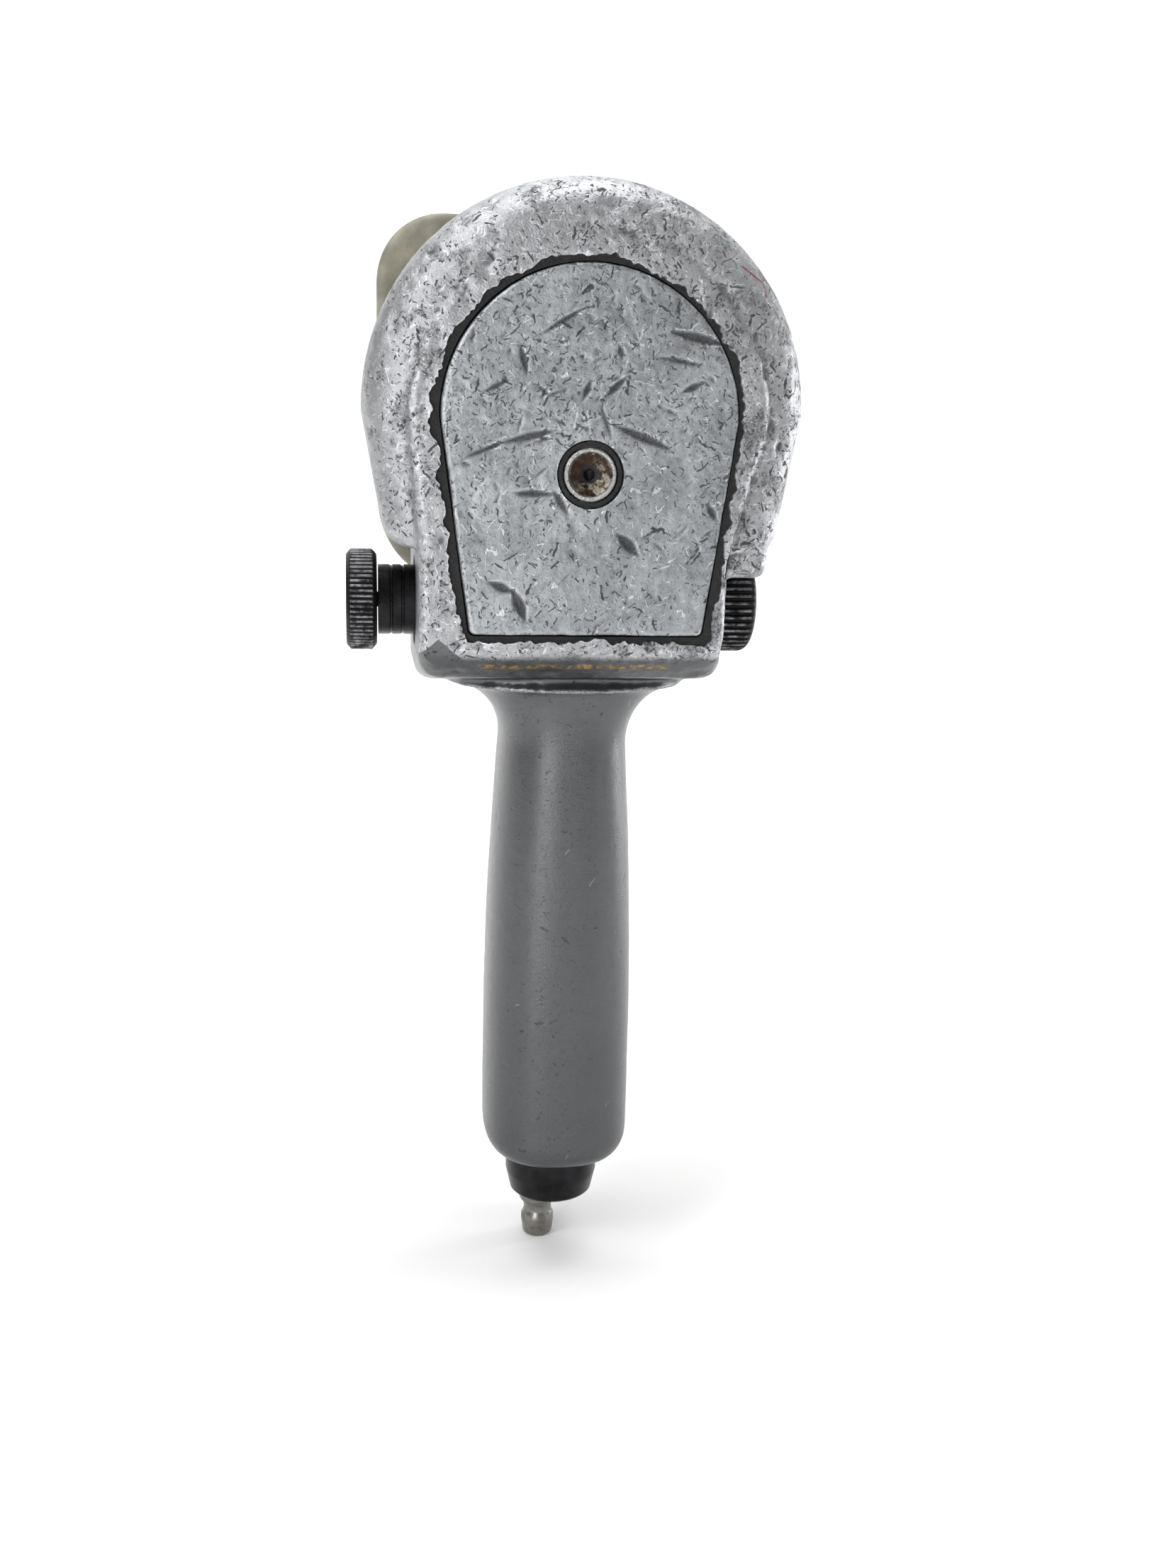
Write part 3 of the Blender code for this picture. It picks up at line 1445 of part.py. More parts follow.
def make_throttle():
    wall = INLET_RADIUS - SEAT_GAP
    at = (0, INLET_Y, 0)
    ring("throttle_seat", wall, SEAT_HOLE_RADIUS, SEAT_Z - SEAT_HEIGHT, SEAT_Z, bronze, "Z", at)
    stem_top = TRIGGER_Z + ROD_RADIUS + VALVE_STEM_ABOVE_ROD
    turned(
        "throttle_valve",
        [
            (0, stem_top),
            (VALVE_STEM_RADIUS / 2, stem_top),
            (VALVE_STEM_RADIUS, stem_top - VALVE_STEM_TAPER),
            (VALVE_STEM_RADIUS, VALVE_TOP_Z),
            (VALVE_RADIUS, VALVE_TOP_Z),
            (VALVE_RADIUS, VALVE_TOP_Z - VALVE_HEIGHT),
            (0, VALVE_TOP_Z - VALVE_HEIGHT),
        ],
        steel,
        "Z",
        at,
        ROUND,
    )
    spring_top = VALVE_TOP_Z - VALVE_HEIGHT - SEAT_GAP
    spring_end = spring_top - THROTTLE_SPRING_LENGTH
    spring(
        "throttle_spring",
        THROTTLE_SPRING_RADIUS,
        THROTTLE_SPRING_WIRE,
        THROTTLE_SPRING_TURNS,
        spring_end,
        spring_top,
        steel,
        "Z",
        at,
    )
    screen_top = spring_end - SEAT_GAP
    screen_end = screen_top - SCREEN_LENGTH
    turned(
        "inlet_screen",
        [
            (0, screen_top),
            (SCREEN_RADIUS, screen_top),
            (SCREEN_RADIUS, screen_end + 1 * MM),
            (wall, screen_end + 1 * MM),
            (wall, screen_end),
            (SCREEN_RADIUS - SCREEN_WALL, screen_end),
            (SCREEN_RADIUS - SCREEN_WALL, screen_top - SCREEN_WALL),
            (0, screen_top - SCREEN_WALL),
        ],
        steel,
        "Z",
        at,
        ROUND,
    )


def make_inlet():
    top = COLLAR_TOP_Z
    thread = INLET_RADIUS - COLLAR_THREAD_GAP
    collar = turned(
        "inlet_collar",
        [
            (0, top + COLLAR_THREAD_LENGTH),
            (thread - 0.6 * MM, top + COLLAR_THREAD_LENGTH),
            (thread, top + COLLAR_THREAD_LENGTH - 0.6 * MM),
            (thread, top),
            (COLLAR_RADIUS - 0.4 * MM, top),
            (COLLAR_RADIUS, top - 0.4 * MM),
            (COLLAR_RADIUS, top - 0.6 * COLLAR_HEIGHT),
            (COLLAR_RADIUS - COLLAR_TAPER, top - COLLAR_HEIGHT),
            (0, top - COLLAR_HEIGHT),
        ],
        black_steel,
        "Z",
        (0, INLET_Y, 0),
        ROUND,
    )
    cut(
        collar,
        rod(
            "collar_thread_hole",
            NIPPLE_THREAD_RADIUS + HOLE_GAP,
            top - COLLAR_HEIGHT - 1 * MM,
            NIPPLE_TOP_Z + NIPPLE_THREAD_LENGTH + 2 * MM,
            None,
            "Z",
            (NIPPLE_X, INLET_Y, 0),
        ),
        rod(
            "collar_air_hole",
            NIPPLE_BORE_RADIUS + 1 * MM,
            top - COLLAR_HEIGHT,
            top + COLLAR_THREAD_LENGTH + 1 * MM,
            None,
            "Z",
            (NIPPLE_X, INLET_Y, 0),
        ),
    )
    end = NIPPLE_TOP_Z - NIPPLE_LENGTH
    turned(
        "air_nipple",
        [
            (NIPPLE_THREAD_RADIUS, NIPPLE_TOP_Z + NIPPLE_THREAD_LENGTH),
            (NIPPLE_THREAD_RADIUS, NIPPLE_TOP_Z),
            (NIPPLE_SHOULDER_RADIUS, NIPPLE_TOP_Z),
            (NIPPLE_SHOULDER_RADIUS, NIPPLE_TOP_Z - 2.4 * MM),
            (NIPPLE_NECK_RADIUS, NIPPLE_TOP_Z - 3.8 * MM),
            (NIPPLE_NECK_RADIUS, NIPPLE_TOP_Z - 5.6 * MM),
            (NIPPLE_TIP_RADIUS, NIPPLE_TOP_Z - 6.8 * MM),
            (NIPPLE_TIP_RADIUS - 0.3 * MM, end + 0.8 * MM),
            (NIPPLE_TIP_RADIUS - 0.9 * MM, end),
            (NIPPLE_BORE_RADIUS, end),
            (NIPPLE_BORE_RADIUS, NIPPLE_TOP_Z + NIPPLE_THREAD_LENGTH),
        ],
        steel,
        "Z",
        (NIPPLE_X, INLET_Y, 0),
        ROUND,
    )


for old in list(bpy.data.objects):
    bpy.data.objects.remove(old, do_unlink=True)
wrench = new_collection("impact_wrench")
cutters = new_collection("cutters")

aluminium = material("cast_aluminium", (0.55, 0.56, 0.57), 0.9, 0.45)
worn_aluminium = material("worn_aluminium", (0.45, 0.46, 0.47), 0.9, 0.5)
olive_case = material("olive_grey_casting", (0.31, 0.3, 0.25), 0.7, 0.6)
steel = material("steel", (0.5, 0.5, 0.5), 1.0, 0.3)
bearing_steel = material("bearing_steel", (0.6, 0.6, 0.62), 1.0, 0.2)
hammer_steel = material("hammer_steel", (0.3, 0.3, 0.31), 1.0, 0.4)
black_steel = material("black_oxide_steel", (0.04, 0.04, 0.045), 0.8, 0.45)
bronze = material("bronze", (0.5, 0.32, 0.14), 1.0, 0.4)
black_rubber = material("black_rubber", (0.02, 0.02, 0.02), 0.0, 0.7)
black_plastic = material("black_plastic", (0.03, 0.03, 0.03), 0.0, 0.45)
vane_resin = material("vane_resin", (0.35, 0.2, 0.08), 0.0, 0.6)
gasket_paper = material("gasket_paper", (0.3, 0.25, 0.18), 0.0, 0.9)

make_housing()
make_cover()
make_motor()
make_rotor()
make_case()
make_hammers()
make_anvil()
make_reversing_valve()
make_trigger()
make_throttle()
make_inlet()
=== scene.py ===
"""Looks of a pneumatic impact wrench: fine castings, knurled knobs, worn finishes and the stage."""

import math
import random

import bmesh
import bpy
import numpy as np
from bpy.props import FloatProperty, FloatVectorProperty, IntProperty, PointerProperty
from mathutils import Euler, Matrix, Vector, noise


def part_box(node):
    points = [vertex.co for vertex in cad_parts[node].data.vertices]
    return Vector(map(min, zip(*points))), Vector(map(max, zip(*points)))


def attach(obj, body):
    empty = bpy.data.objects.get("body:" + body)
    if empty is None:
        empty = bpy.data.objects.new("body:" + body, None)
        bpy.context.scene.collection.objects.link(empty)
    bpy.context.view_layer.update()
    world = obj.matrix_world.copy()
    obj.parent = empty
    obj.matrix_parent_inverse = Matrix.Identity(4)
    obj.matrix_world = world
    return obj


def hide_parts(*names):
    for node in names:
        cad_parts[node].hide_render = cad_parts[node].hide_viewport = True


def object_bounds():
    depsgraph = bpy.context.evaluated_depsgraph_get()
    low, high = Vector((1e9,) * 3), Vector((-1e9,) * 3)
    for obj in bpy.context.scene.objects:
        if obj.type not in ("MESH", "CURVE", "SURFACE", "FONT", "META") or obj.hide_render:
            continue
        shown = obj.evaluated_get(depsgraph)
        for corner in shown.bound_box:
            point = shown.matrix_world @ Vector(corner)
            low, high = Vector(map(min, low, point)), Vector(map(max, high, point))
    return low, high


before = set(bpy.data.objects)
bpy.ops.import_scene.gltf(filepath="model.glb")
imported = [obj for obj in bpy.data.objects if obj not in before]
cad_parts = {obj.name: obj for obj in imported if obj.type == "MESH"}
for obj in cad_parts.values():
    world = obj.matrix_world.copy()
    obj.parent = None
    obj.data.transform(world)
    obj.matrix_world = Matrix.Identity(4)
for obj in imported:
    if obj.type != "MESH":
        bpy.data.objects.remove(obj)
CAD_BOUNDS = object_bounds()

bl_info = {
    "name": "Impact wrench",
    "version": (1, 0, 0),
    "blender": (4, 5, 0),
    "location": "View3D > Sidebar > Impact wrench",
    "description": "Builds the castings, knobs, fittings and finishes of an air impact wrench",
    "category": "Object",
}

MM = 0.001
SKIN_GAP = 0.3 * MM

COVER_LOW, COVER_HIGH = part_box("rear_cover")
HOUSING_LOW, HOUSING_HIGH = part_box("motor_housing")
LINER_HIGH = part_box("cylinder_liner")[1]
SPOOL_LOW, SPOOL_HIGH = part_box("reverse_spool")
SLEEVE_LOW, SLEEVE_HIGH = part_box("valve_sleeve")
KNOB_LOW, KNOB_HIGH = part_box("push_knob")
DIAL_LOW, DIAL_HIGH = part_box("regulator_knob")
GASKET_LOW, GASKET_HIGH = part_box("rear_gasket")
FITTING_LOW, FITTING_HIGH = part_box("grease_fitting")
CASE_LOW, CASE_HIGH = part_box("hammer_case")
CAGE_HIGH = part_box("hammer_cage")[1]
BUSH_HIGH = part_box("nose_bush")[1]
COLLAR_LOW, COLLAR_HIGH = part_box("inlet_collar")
NIPPLE_LOW, NIPPLE_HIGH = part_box("air_nipple")
TRIGGER_LOW, TRIGGER_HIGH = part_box("trigger")
GUIDE_LOW, GUIDE_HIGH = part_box("trigger_bush")
SEAT_LOW, SEAT_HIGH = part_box("throttle_seat")
SCREW_LOW, SCREW_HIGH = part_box("detent_screw")

SPOOL_CENTRE = (SPOOL_LOW + SPOOL_HIGH) / 2
SPOOL_RADIUS = (SPOOL_HIGH.z - SPOOL_LOW.z) / 2
INLET_Y = (SEAT_LOW.y + SEAT_HIGH.y) / 2
HANDLE_END_Z = HOUSING_LOW.z
ARCH_Z = COVER_HIGH.z - COVER_HIGH.x
FITTING_Z = (FITTING_LOW.z + FITTING_HIGH.z) / 2

HANDLE_Y = 37.5 * MM
HANDLE_HALF_DEPTH = 20 * MM
NECK_HALF_WIDTH = 13.9 * MM
GRIP_HALF_WIDTH = 16.6 * MM
GRIP_Z = -135 * MM
FILLET_WIDTH = 12 * MM
FILLET_HEIGHT = 13 * MM
FILLET_DEPTH = 3 * MM
HANDLE_END_ROUND = 6 * MM
HANDLE_END_INSET = 4.5 * MM
COVER_FOOT_HALF_WIDTH = 23.4 * MM
CHAMFER_Z = -52.8 * MM
HEAD_START_Y = 2 * MM
HEAD_DOME_LENGTH = 8.5 * MM
RIGHT_SLOPE_Y = 17
KNEE_DEPTH = 26.4 * MM
KNEE_SWELL = 0.7 * MM
INLET_TOP_Z = -62 * MM
RISER_Y = 36 * MM
RISER_RADIUS = 4.5 * MM
EXHAUST_Y = 23.4 * MM
EXHAUST_RADIUS = 3 * MM
BOLT_HOLE_RADIUS = 2.8 * MM
CASE_FLANGE_LENGTH = 11 * MM
CASE_BODY_RADIUS = 34 * MM
CASE_NOSE_RADIUS = 19.5 * MM
ROUND_STEPS = 96


# Sizes and colours that a user would change


class CastingSizes(bpy.types.PropertyGroup):
    voxel: FloatProperty(
        name="Voxel",
        description="Grain of the remeshed castings",
        default=0.6 * MM,
        unit="LENGTH",
        precision=5,
    )
    head_radius: FloatProperty(
        name="Head radius", description="Radius of the round head", default=HOUSING_HIGH.x, unit="LENGTH"
    )
    head_foot_half_width: FloatProperty(
        name="Head foot half width",
        description="Half width of the head where its sides end",
        default=40 * MM,
        unit="LENGTH",
    )
    head_foot_z: FloatProperty(
        name="Head foot height",
        description="Height at which the head's sides end",
        default=-27 * MM,
        unit="LENGTH",
    )
    block_left: FloatProperty(
        name="Block left side",
        description="Place of the block's left side",
        default=-33 * MM,
        unit="LENGTH",
    )
    block_right: FloatProperty(
        name="Block right side",
        description="Place of the block's right side",
        default=30.6 * MM,
        unit="LENGTH",
    )
    block_rear_right: FloatProperty(
        name="Block rear right corner",
        description="Place of the right side at the rear, where it leans in",
        default=27.2 * MM,
        unit="LENGTH",
    )
    block_foot_z: FloatProperty(
        name="Block underside",
        description="Height of the block's underside",
        default=-57 * MM,
        unit="LENGTH",
    )
    frame_margin: FloatProperty(
        name="Frame margin",
        description="From the cover to the frame's arched edge",
        default=6.4 * MM,
        unit="LENGTH",
    )
    frame_foot_margin: FloatProperty(
        name="Frame foot margin",
        description="From the cover to the frame's foot",
        default=4.4 * MM,
        unit="LENGTH",
    )
    dents: IntProperty(name="Dents", description="Number of dents in the casting", default=420)
    seed: IntProperty(name="Seed", description="Seed of every random mark", default=7)


class KnobSizes(bpy.types.PropertyGroup):
    push_teeth: IntProperty(name="Push knob teeth", description="Teeth of the fine knurl", default=60)
    dial_teeth: IntProperty(name="Dial flutes", description="Flutes of the coarse dial", default=42)
    tooth_depth: FloatProperty(
        name="Tooth depth", description="Depth of the knurl", default=0.42 * MM, unit="LENGTH", precision=5
    )


class Colours(bpy.types.PropertyGroup):
    cast: FloatVectorProperty(
        name="Casting",
        description="Bare cast aluminium",
        default=(0.48, 0.49, 0.505),
        subtype="COLOR",
        size=3,
    )
    plate: FloatVectorProperty(
        name="Cover", description="Worn cover plate", default=(0.4, 0.415, 0.43), subtype="COLOR", size=3
    )
    # Also the colour of the painted shade in the gouges and hollows of the casting and the cover.
    pit_and_shade: FloatVectorProperty(
        name="Pits",
        description="Dirt in pits and nicks",
        default=(0.018, 0.018, 0.02),
        subtype="COLOR",
        size=3,
    )
    olive: FloatVectorProperty(
        name="Hammer case",
        description="Olive grey coating",
        default=(0.235, 0.225, 0.175),
        subtype="COLOR",
        size=3,
    )
    ochre: FloatVectorProperty(
        name="Ochre", description="Old paint line", default=(0.4, 0.23, 0.05), subtype="COLOR", size=3
    )
    rust: FloatVectorProperty(
        name="Rust",
        description="Rust in the fitting",
        default=(0.06, 0.034, 0.018),
        subtype="COLOR",
        size=3,
    )
    oxide: FloatVectorProperty(
        name="Black oxide",
        description="Black steel",
        default=(0.016, 0.016, 0.0175),
        subtype="COLOR",
        size=3,
    )


class StageSizes(bpy.types.PropertyGroup):
    camera_place: FloatVectorProperty(
        name="Camera",
        description="Place of the camera",
        default=(-0.0446, -0.3046, -0.0056),
        subtype="TRANSLATION",
    )
    camera_turn: FloatVectorProperty(
        name="Camera turn",
        description="Pitch, roll and yaw of the camera",
        default=(math.radians(90 - 12.4), math.radians(1.4), math.radians(-8.5)),
        subtype="EULER",
    )
    lens: FloatProperty(name="Lens", description="Focal length for a 36 mm tall frame", default=35.8)
    floor: FloatVectorProperty(
        name="Floor", description="Colour of the floor", default=(0.9, 0.9, 0.9), subtype="COLOR", size=3
    )


def sizes():
    return bpy.context.scene.wrench_casting


def colours():
    return bpy.context.scene.wrench_colours


# Shader maths


class Value:
    """A socket of a shader tree. Arithmetic on it adds the Math nodes."""

    def __init__(self, finish, socket):
        self.finish = finish
        self.socket = socket

    def output(self, name):
        """Another output of the node that made this value."""
        return Value(self.finish, self.socket.node.outputs[name])

    def _with(self, operation, first, second=0.0):
        return self.finish.node("ShaderNodeMath", {"operation": operation}, {0: first, 1: second})

    def __add__(self, other):
        return self._with("ADD", self, other)

    def __sub__(self, other):
        return self._with("SUBTRACT", self, other)

    def __rsub__(self, other):
        return self._with("SUBTRACT", other, self)

    def __mul__(self, other):
        return self._with("MULTIPLY", self, other)

    def __truediv__(self, other):
        return self._with("DIVIDE", self, other)

    def __pow__(self, other):
        return self._with("POWER", self, other)

    def __abs__(self):
        return self._with("ABSOLUTE", self)

    __radd__ = __add__
    __rmul__ = __mul__

    def most(self, other):
        return self._with("MAXIMUM", self, other)

    def step(self, low, high):
        """0 below low and 1 above high, with a smooth rise between. It falls where low is above high."""
        limits = {"From Min": low, "From Max": high, "To Min": 0.0, "To Max": 1.0}
        if low > high:
            limits = {"From Min": high, "From Max": low, "To Min": 1.0, "To Max": 0.0}
        settings = {"interpolation_type": "SMOOTHSTEP"}
        return self.finish.node("ShaderNodeMapRange", settings, {"Value": self, **limits})


class Finish:
    """A material whose nodes are added one call at a time."""

    def __init__(self, name):
        self.material = bpy.data.materials.new(name)
        self.material.use_nodes = True
        self.tree = self.material.node_tree
        self.shader = self.tree.nodes["Principled BSDF"]
        coordinates = self.node("ShaderNodeTexCoord", {}, {}, "Object")
        inputs = {0: coordinates, "Scale": 1 / MM}
        self.place = self.node("ShaderNodeVectorMath", {"operation": "SCALE"}, inputs)
        parts = self.tree.nodes.new("ShaderNodeSeparateXYZ")
        self.tree.links.new(self.place.socket, parts.inputs[0])
        self.x, self.y, self.z = (Value(self, parts.outputs[i]) for i in range(3))

    def node(self, kind, settings, inputs, output=0):
        made = self.tree.nodes.new(kind)
        for name, value in settings.items():
            setattr(made, name, value)
        for name, value in inputs.items():
            if isinstance(value, Value):
                self.tree.links.new(value.socket, made.inputs[name])
            else:
                made.inputs[name].default_value = value
        return Value(self, made.outputs[output])

    def noise(self, scale, detail=2.0, roughness=0.5, where=None, distortion=0.0):
        """Noise between 0 and 1. Scale is in features per millimetre."""
        inputs = {
            "Vector": where or self.place,
            "Scale": scale,
            "Detail": detail,
            "Roughness": roughness,
            "Distortion": distortion,
        }
        return self.node("ShaderNodeTexNoise", {}, inputs)

    def stretched(self, turn, stretch):
        """The place turned by three angles and then stretched, for grain and scratches."""
        inputs = {"Vector": self.place, "Rotation": turn, "Scale": stretch}
        return self.node("ShaderNodeMapping", {}, inputs)

    def mix(self, factor, first, second):
        """A colour between two colours."""
        first = (*first, 1.0) if isinstance(first, tuple) else first
        second = (*second, 1.0) if isinstance(second, tuple) else second
        return self.node("ShaderNodeMix", {"data_type": "RGBA"}, {0: factor, 6: first, 7: second}, 2)

    def bump(self, height, distance, strength=1.0, under=None):
        inputs = {"Height": height, "Distance": distance, "Strength": strength}
        if under:
            inputs["Normal"] = under
        return self.node("ShaderNodeBump", {}, inputs)

    def vector(self, operation, first, second=None, output=0):
        inputs = {0: first} if second is None else {0: first, 1: second}
        return self.node("ShaderNodeVectorMath", {"operation": operation}, inputs, output)

    def bent_place(self, scale, reach):
        """The place moved about by smooth noise, so that marks on it aren't straight."""
        drift = self.noise(scale, 1.0).output("Color")
        centred = self.vector("SUBTRACT", drift, (0.5, 0.5, 0.5))
        inputs = {0: centred, "Scale": reach}
        drift = self.node("ShaderNodeVectorMath", {"operation": "SCALE"}, inputs)
        return self.vector("ADD", self.place, drift)

    def nicks(self, scale, width, length, share):
        """Short nicks that each lie their own way, 1 on a nick. Each is where a thin disc in its cell
        meets the surface. Scale is in cells per millimetre, and share is how many of the cells hold one."""
        where = self.bent_place(0.9, 0.8)
        cell = self.node("ShaderNodeTexVoronoi", {}, {"Vector": where, "Scale": scale})
        centre = cell.output("Position")
        away = self.vector("SUBTRACT", where, centre)
        lie = self.vector("NORMALIZE", self.vector("SUBTRACT", cell.output("Color"), (0.5, 0.5, 0.5)))
        along = self.vector("DOT_PRODUCT", away, lie, "Value")
        reach = self.vector("DOT_PRODUCT", away, away, "Value")
        off = (reach - along * along).most(0.0) ** 0.5
        chance = self.node("ShaderNodeTexWhiteNoise", {}, {"Vector": centre})
        chosen = (share - chance).step(0.0, 0.02)
        return abs(along).step(width / 2, width * 0.2) * off.step(length / 2, length * 0.4) * chosen

    def kept(self, name):
        """A value kept on the mesh. Mark is how deep a gouge is there, and edge is over 0 where an edge
        stands out and under 0 in a hollow."""
        return self.node("ShaderNodeAttribute", {"attribute_name": name}, {}, "Fac")

    def line(self, start, end, width):
        """1 near the line between two (x, z) places in millimetres."""
        run_x, run_z = end[0] - start[0], end[1] - start[1]
        length = math.hypot(run_x, run_z)
        off_x, off_z = self.x - start[0], self.z - start[1]
        along = (off_x * run_x + off_z * run_z) / length
        across = abs(off_x * run_z - off_z * run_x) / length
        return across.step(width, width * 0.4) * abs(along - length / 2).step(length / 2 + width, length / 2)

    def finish(self, colour, rough, metal, normal=None, coat=0.0):
        inputs = {"Base Color": colour, "Roughness": rough, "Metallic": metal, "Normal": normal}
        for name, value in inputs.items():
            if isinstance(value, Value):
                self.tree.links.new(value.socket, self.shader.inputs[name])
            elif isinstance(value, tuple):
                self.shader.inputs[name].default_value = (*value, 1.0)
            elif value is not None:
                self.shader.inputs[name].default_value = value
        self.shader.inputs["Coat Weight"].default_value = coat
        return self.material


def tuple_of(colour):
    return tuple(colour[:])


def scaled(colour, factor):
    return tuple(min(1.0, channel * factor) for channel in colour[:])


def cast_finish():
    """Bare cast aluminium: peened and pitted round the cover, satin and only nicked down the handle. The
    handle and the underside are painted darker as shade.
    """
    f = Finish("worn_casting")
    rear = f.y.step(13.0, 4.0)
    above_neck = f.z.step(-49.5, -47.5)
    battered = rear * above_neck
    cloud = f.noise(0.08, 3.0, 0.55)
    patches = f.noise(0.17, 3.0, 0.6)
    mottle = f.noise(0.6, 4.0, 0.62)
    grain = f.noise(2.4, 4.0, 0.65)
    wear = patches.step(0.4, 0.62) * battered
    right = f.x.step(-20.0, 25.0)
    fine = f.nicks(0.95, 0.26, 1.2, 0.02 + battered * 0.1 + wear * 0.25 + right * battered * 0.15)
    coarse = f.nicks(0.42, 0.4, 2.8, 0.02 + battered * 0.02 + wear * 0.3 + right * battered * 0.16)
    pits = (f.noise(1.3, 5.0, 0.68) + wear * 0.06 + battered * right * 0.03).step(0.63, 0.67)
    smear = (patches + mottle * 0.24 + right * 0.06).step(0.68, 0.78) * battered * grain.step(0.34, 0.6)
    edge = f.kept("edge")
    # Painted shade in the hollows of the rear, found from the kept edge value.
    painted_valley_shade = edge.step(-0.25, -0.8) * battered
    dirt_and_shade = (fine.most(coarse) * (battered * 0.65 + 0.25)).most(pits * (battered * 0.6 + 0.12))
    # Dark smears, then painted shade in the gouges and the hollows.
    dirt_and_shade = dirt_and_shade.most(smear * 0.62).most(f.kept("mark") * battered * 0.85).most(painted_valley_shade * 0.6)
    base = tuple_of(colours().cast)
    tone = cloud.step(0.3, 0.7) * 0.35 + mottle.step(0.3, 0.72) * 0.45 + grain.step(0.3, 0.7) * 0.2
    metal = f.mix(tone, scaled(base, 0.6), scaled(base, 0.98))
    metal = f.mix(f.nicks(0.7, 0.22, 1.9, 0.5) * battered * 0.6, metal, scaled(base, 1.6))
    handle_tone = f.noise(0.07, 3.0, 0.6) * 0.4 + mottle * 0.3 + grain * 0.3
    # Painted shade: the handle takes a much darker copy of the casting colour.
    handle = f.mix(handle_tone, scaled(base, 0.15), scaled(base, 0.3))
    handle = f.mix(f.nicks(0.16, 0.26, 2.4, 0.25) * 0.4, handle, base)
    # Painted shade: the handle grows darker towards its end.
    handle = f.mix(f.z.step(-100.0, -160.0) * 0.4, handle, scaled(base, 0.14))
    # The sides forward of the frame lean towards the handle's colour, satin with painted shade.
    metal = f.mix(f.y.step(9.0, 18.0) * above_neck * 0.35, metal, handle)
    # Raised edges of the rear rubbed bright, with a painted highlight on them.
    metal = f.mix(edge.step(0.3, 0.9) * battered * grain.step(0.3, 0.6) * 0.7, metal, scaled(base, 1.4))
    # Painted shade: the underside below the frame takes the handle's darker colour.
    metal = f.mix(f.z.step(-47.3, -48.8), metal, handle)
    # Raised dent edges below the frame lightened: wear with a painted highlight.
    metal = f.mix(edge.step(0.2, 0.8) * grain.step(0.3, 0.6) * f.z.step(-49.5, -51.0) * 0.5, metal, base)
    # Painted shade on the chipped facet at the frame's lower left corner.
    notch = (abs(f.x + 29.3) + (f.z + 44.3) * 1.15).step(0.35, 0.0) * f.y.step(6.0, 5.0)
    metal = f.mix(notch * 0.9, metal, scaled(base, 0.2))
    strip = abs(f.z + 49.9).step(0.65, 0.35) * f.y.step(6.0, 4.0) * abs(f.x + 2.0).step(20.0, 18.5)
    metal = f.mix(strip * f.noise(0.6, 4.0, 0.7).step(0.48, 0.56) * 0.85, metal, tuple_of(colours().ochre))
    flecks = f.line((28.7, 27.8), (33.4, 25.0), 0.3).most(f.line((33.4, 25.0), (33.9, 22.4), 0.28))
    flecks = flecks.most(f.line((24.8, 30.4), (25.1, 29.4), 0.3)) * rear * mottle.step(0.38, 0.5)
    metal = f.mix(flecks * 0.75, metal, (0.25, 0.03, 0.03))
    # The dirt in nicks and pits and the painted shade all take the pit colour.
    colour = f.mix(dirt_and_shade * 0.94, metal, tuple_of(colours().pit_and_shade))
    rough = 0.2 + above_neck * 0.14 + mottle * 0.16 + grain * 0.08 + dirt_and_shade * 0.3
    height = mottle * (battered * 0.5 + 0.08) + grain * 0.22 - pits * 0.5 - fine.most(coarse) * 0.7
    return f.finish(colour, rough, 0.95 - dirt_and_shade * 0.4, f.bump(height, 0.4 * MM, 0.85))


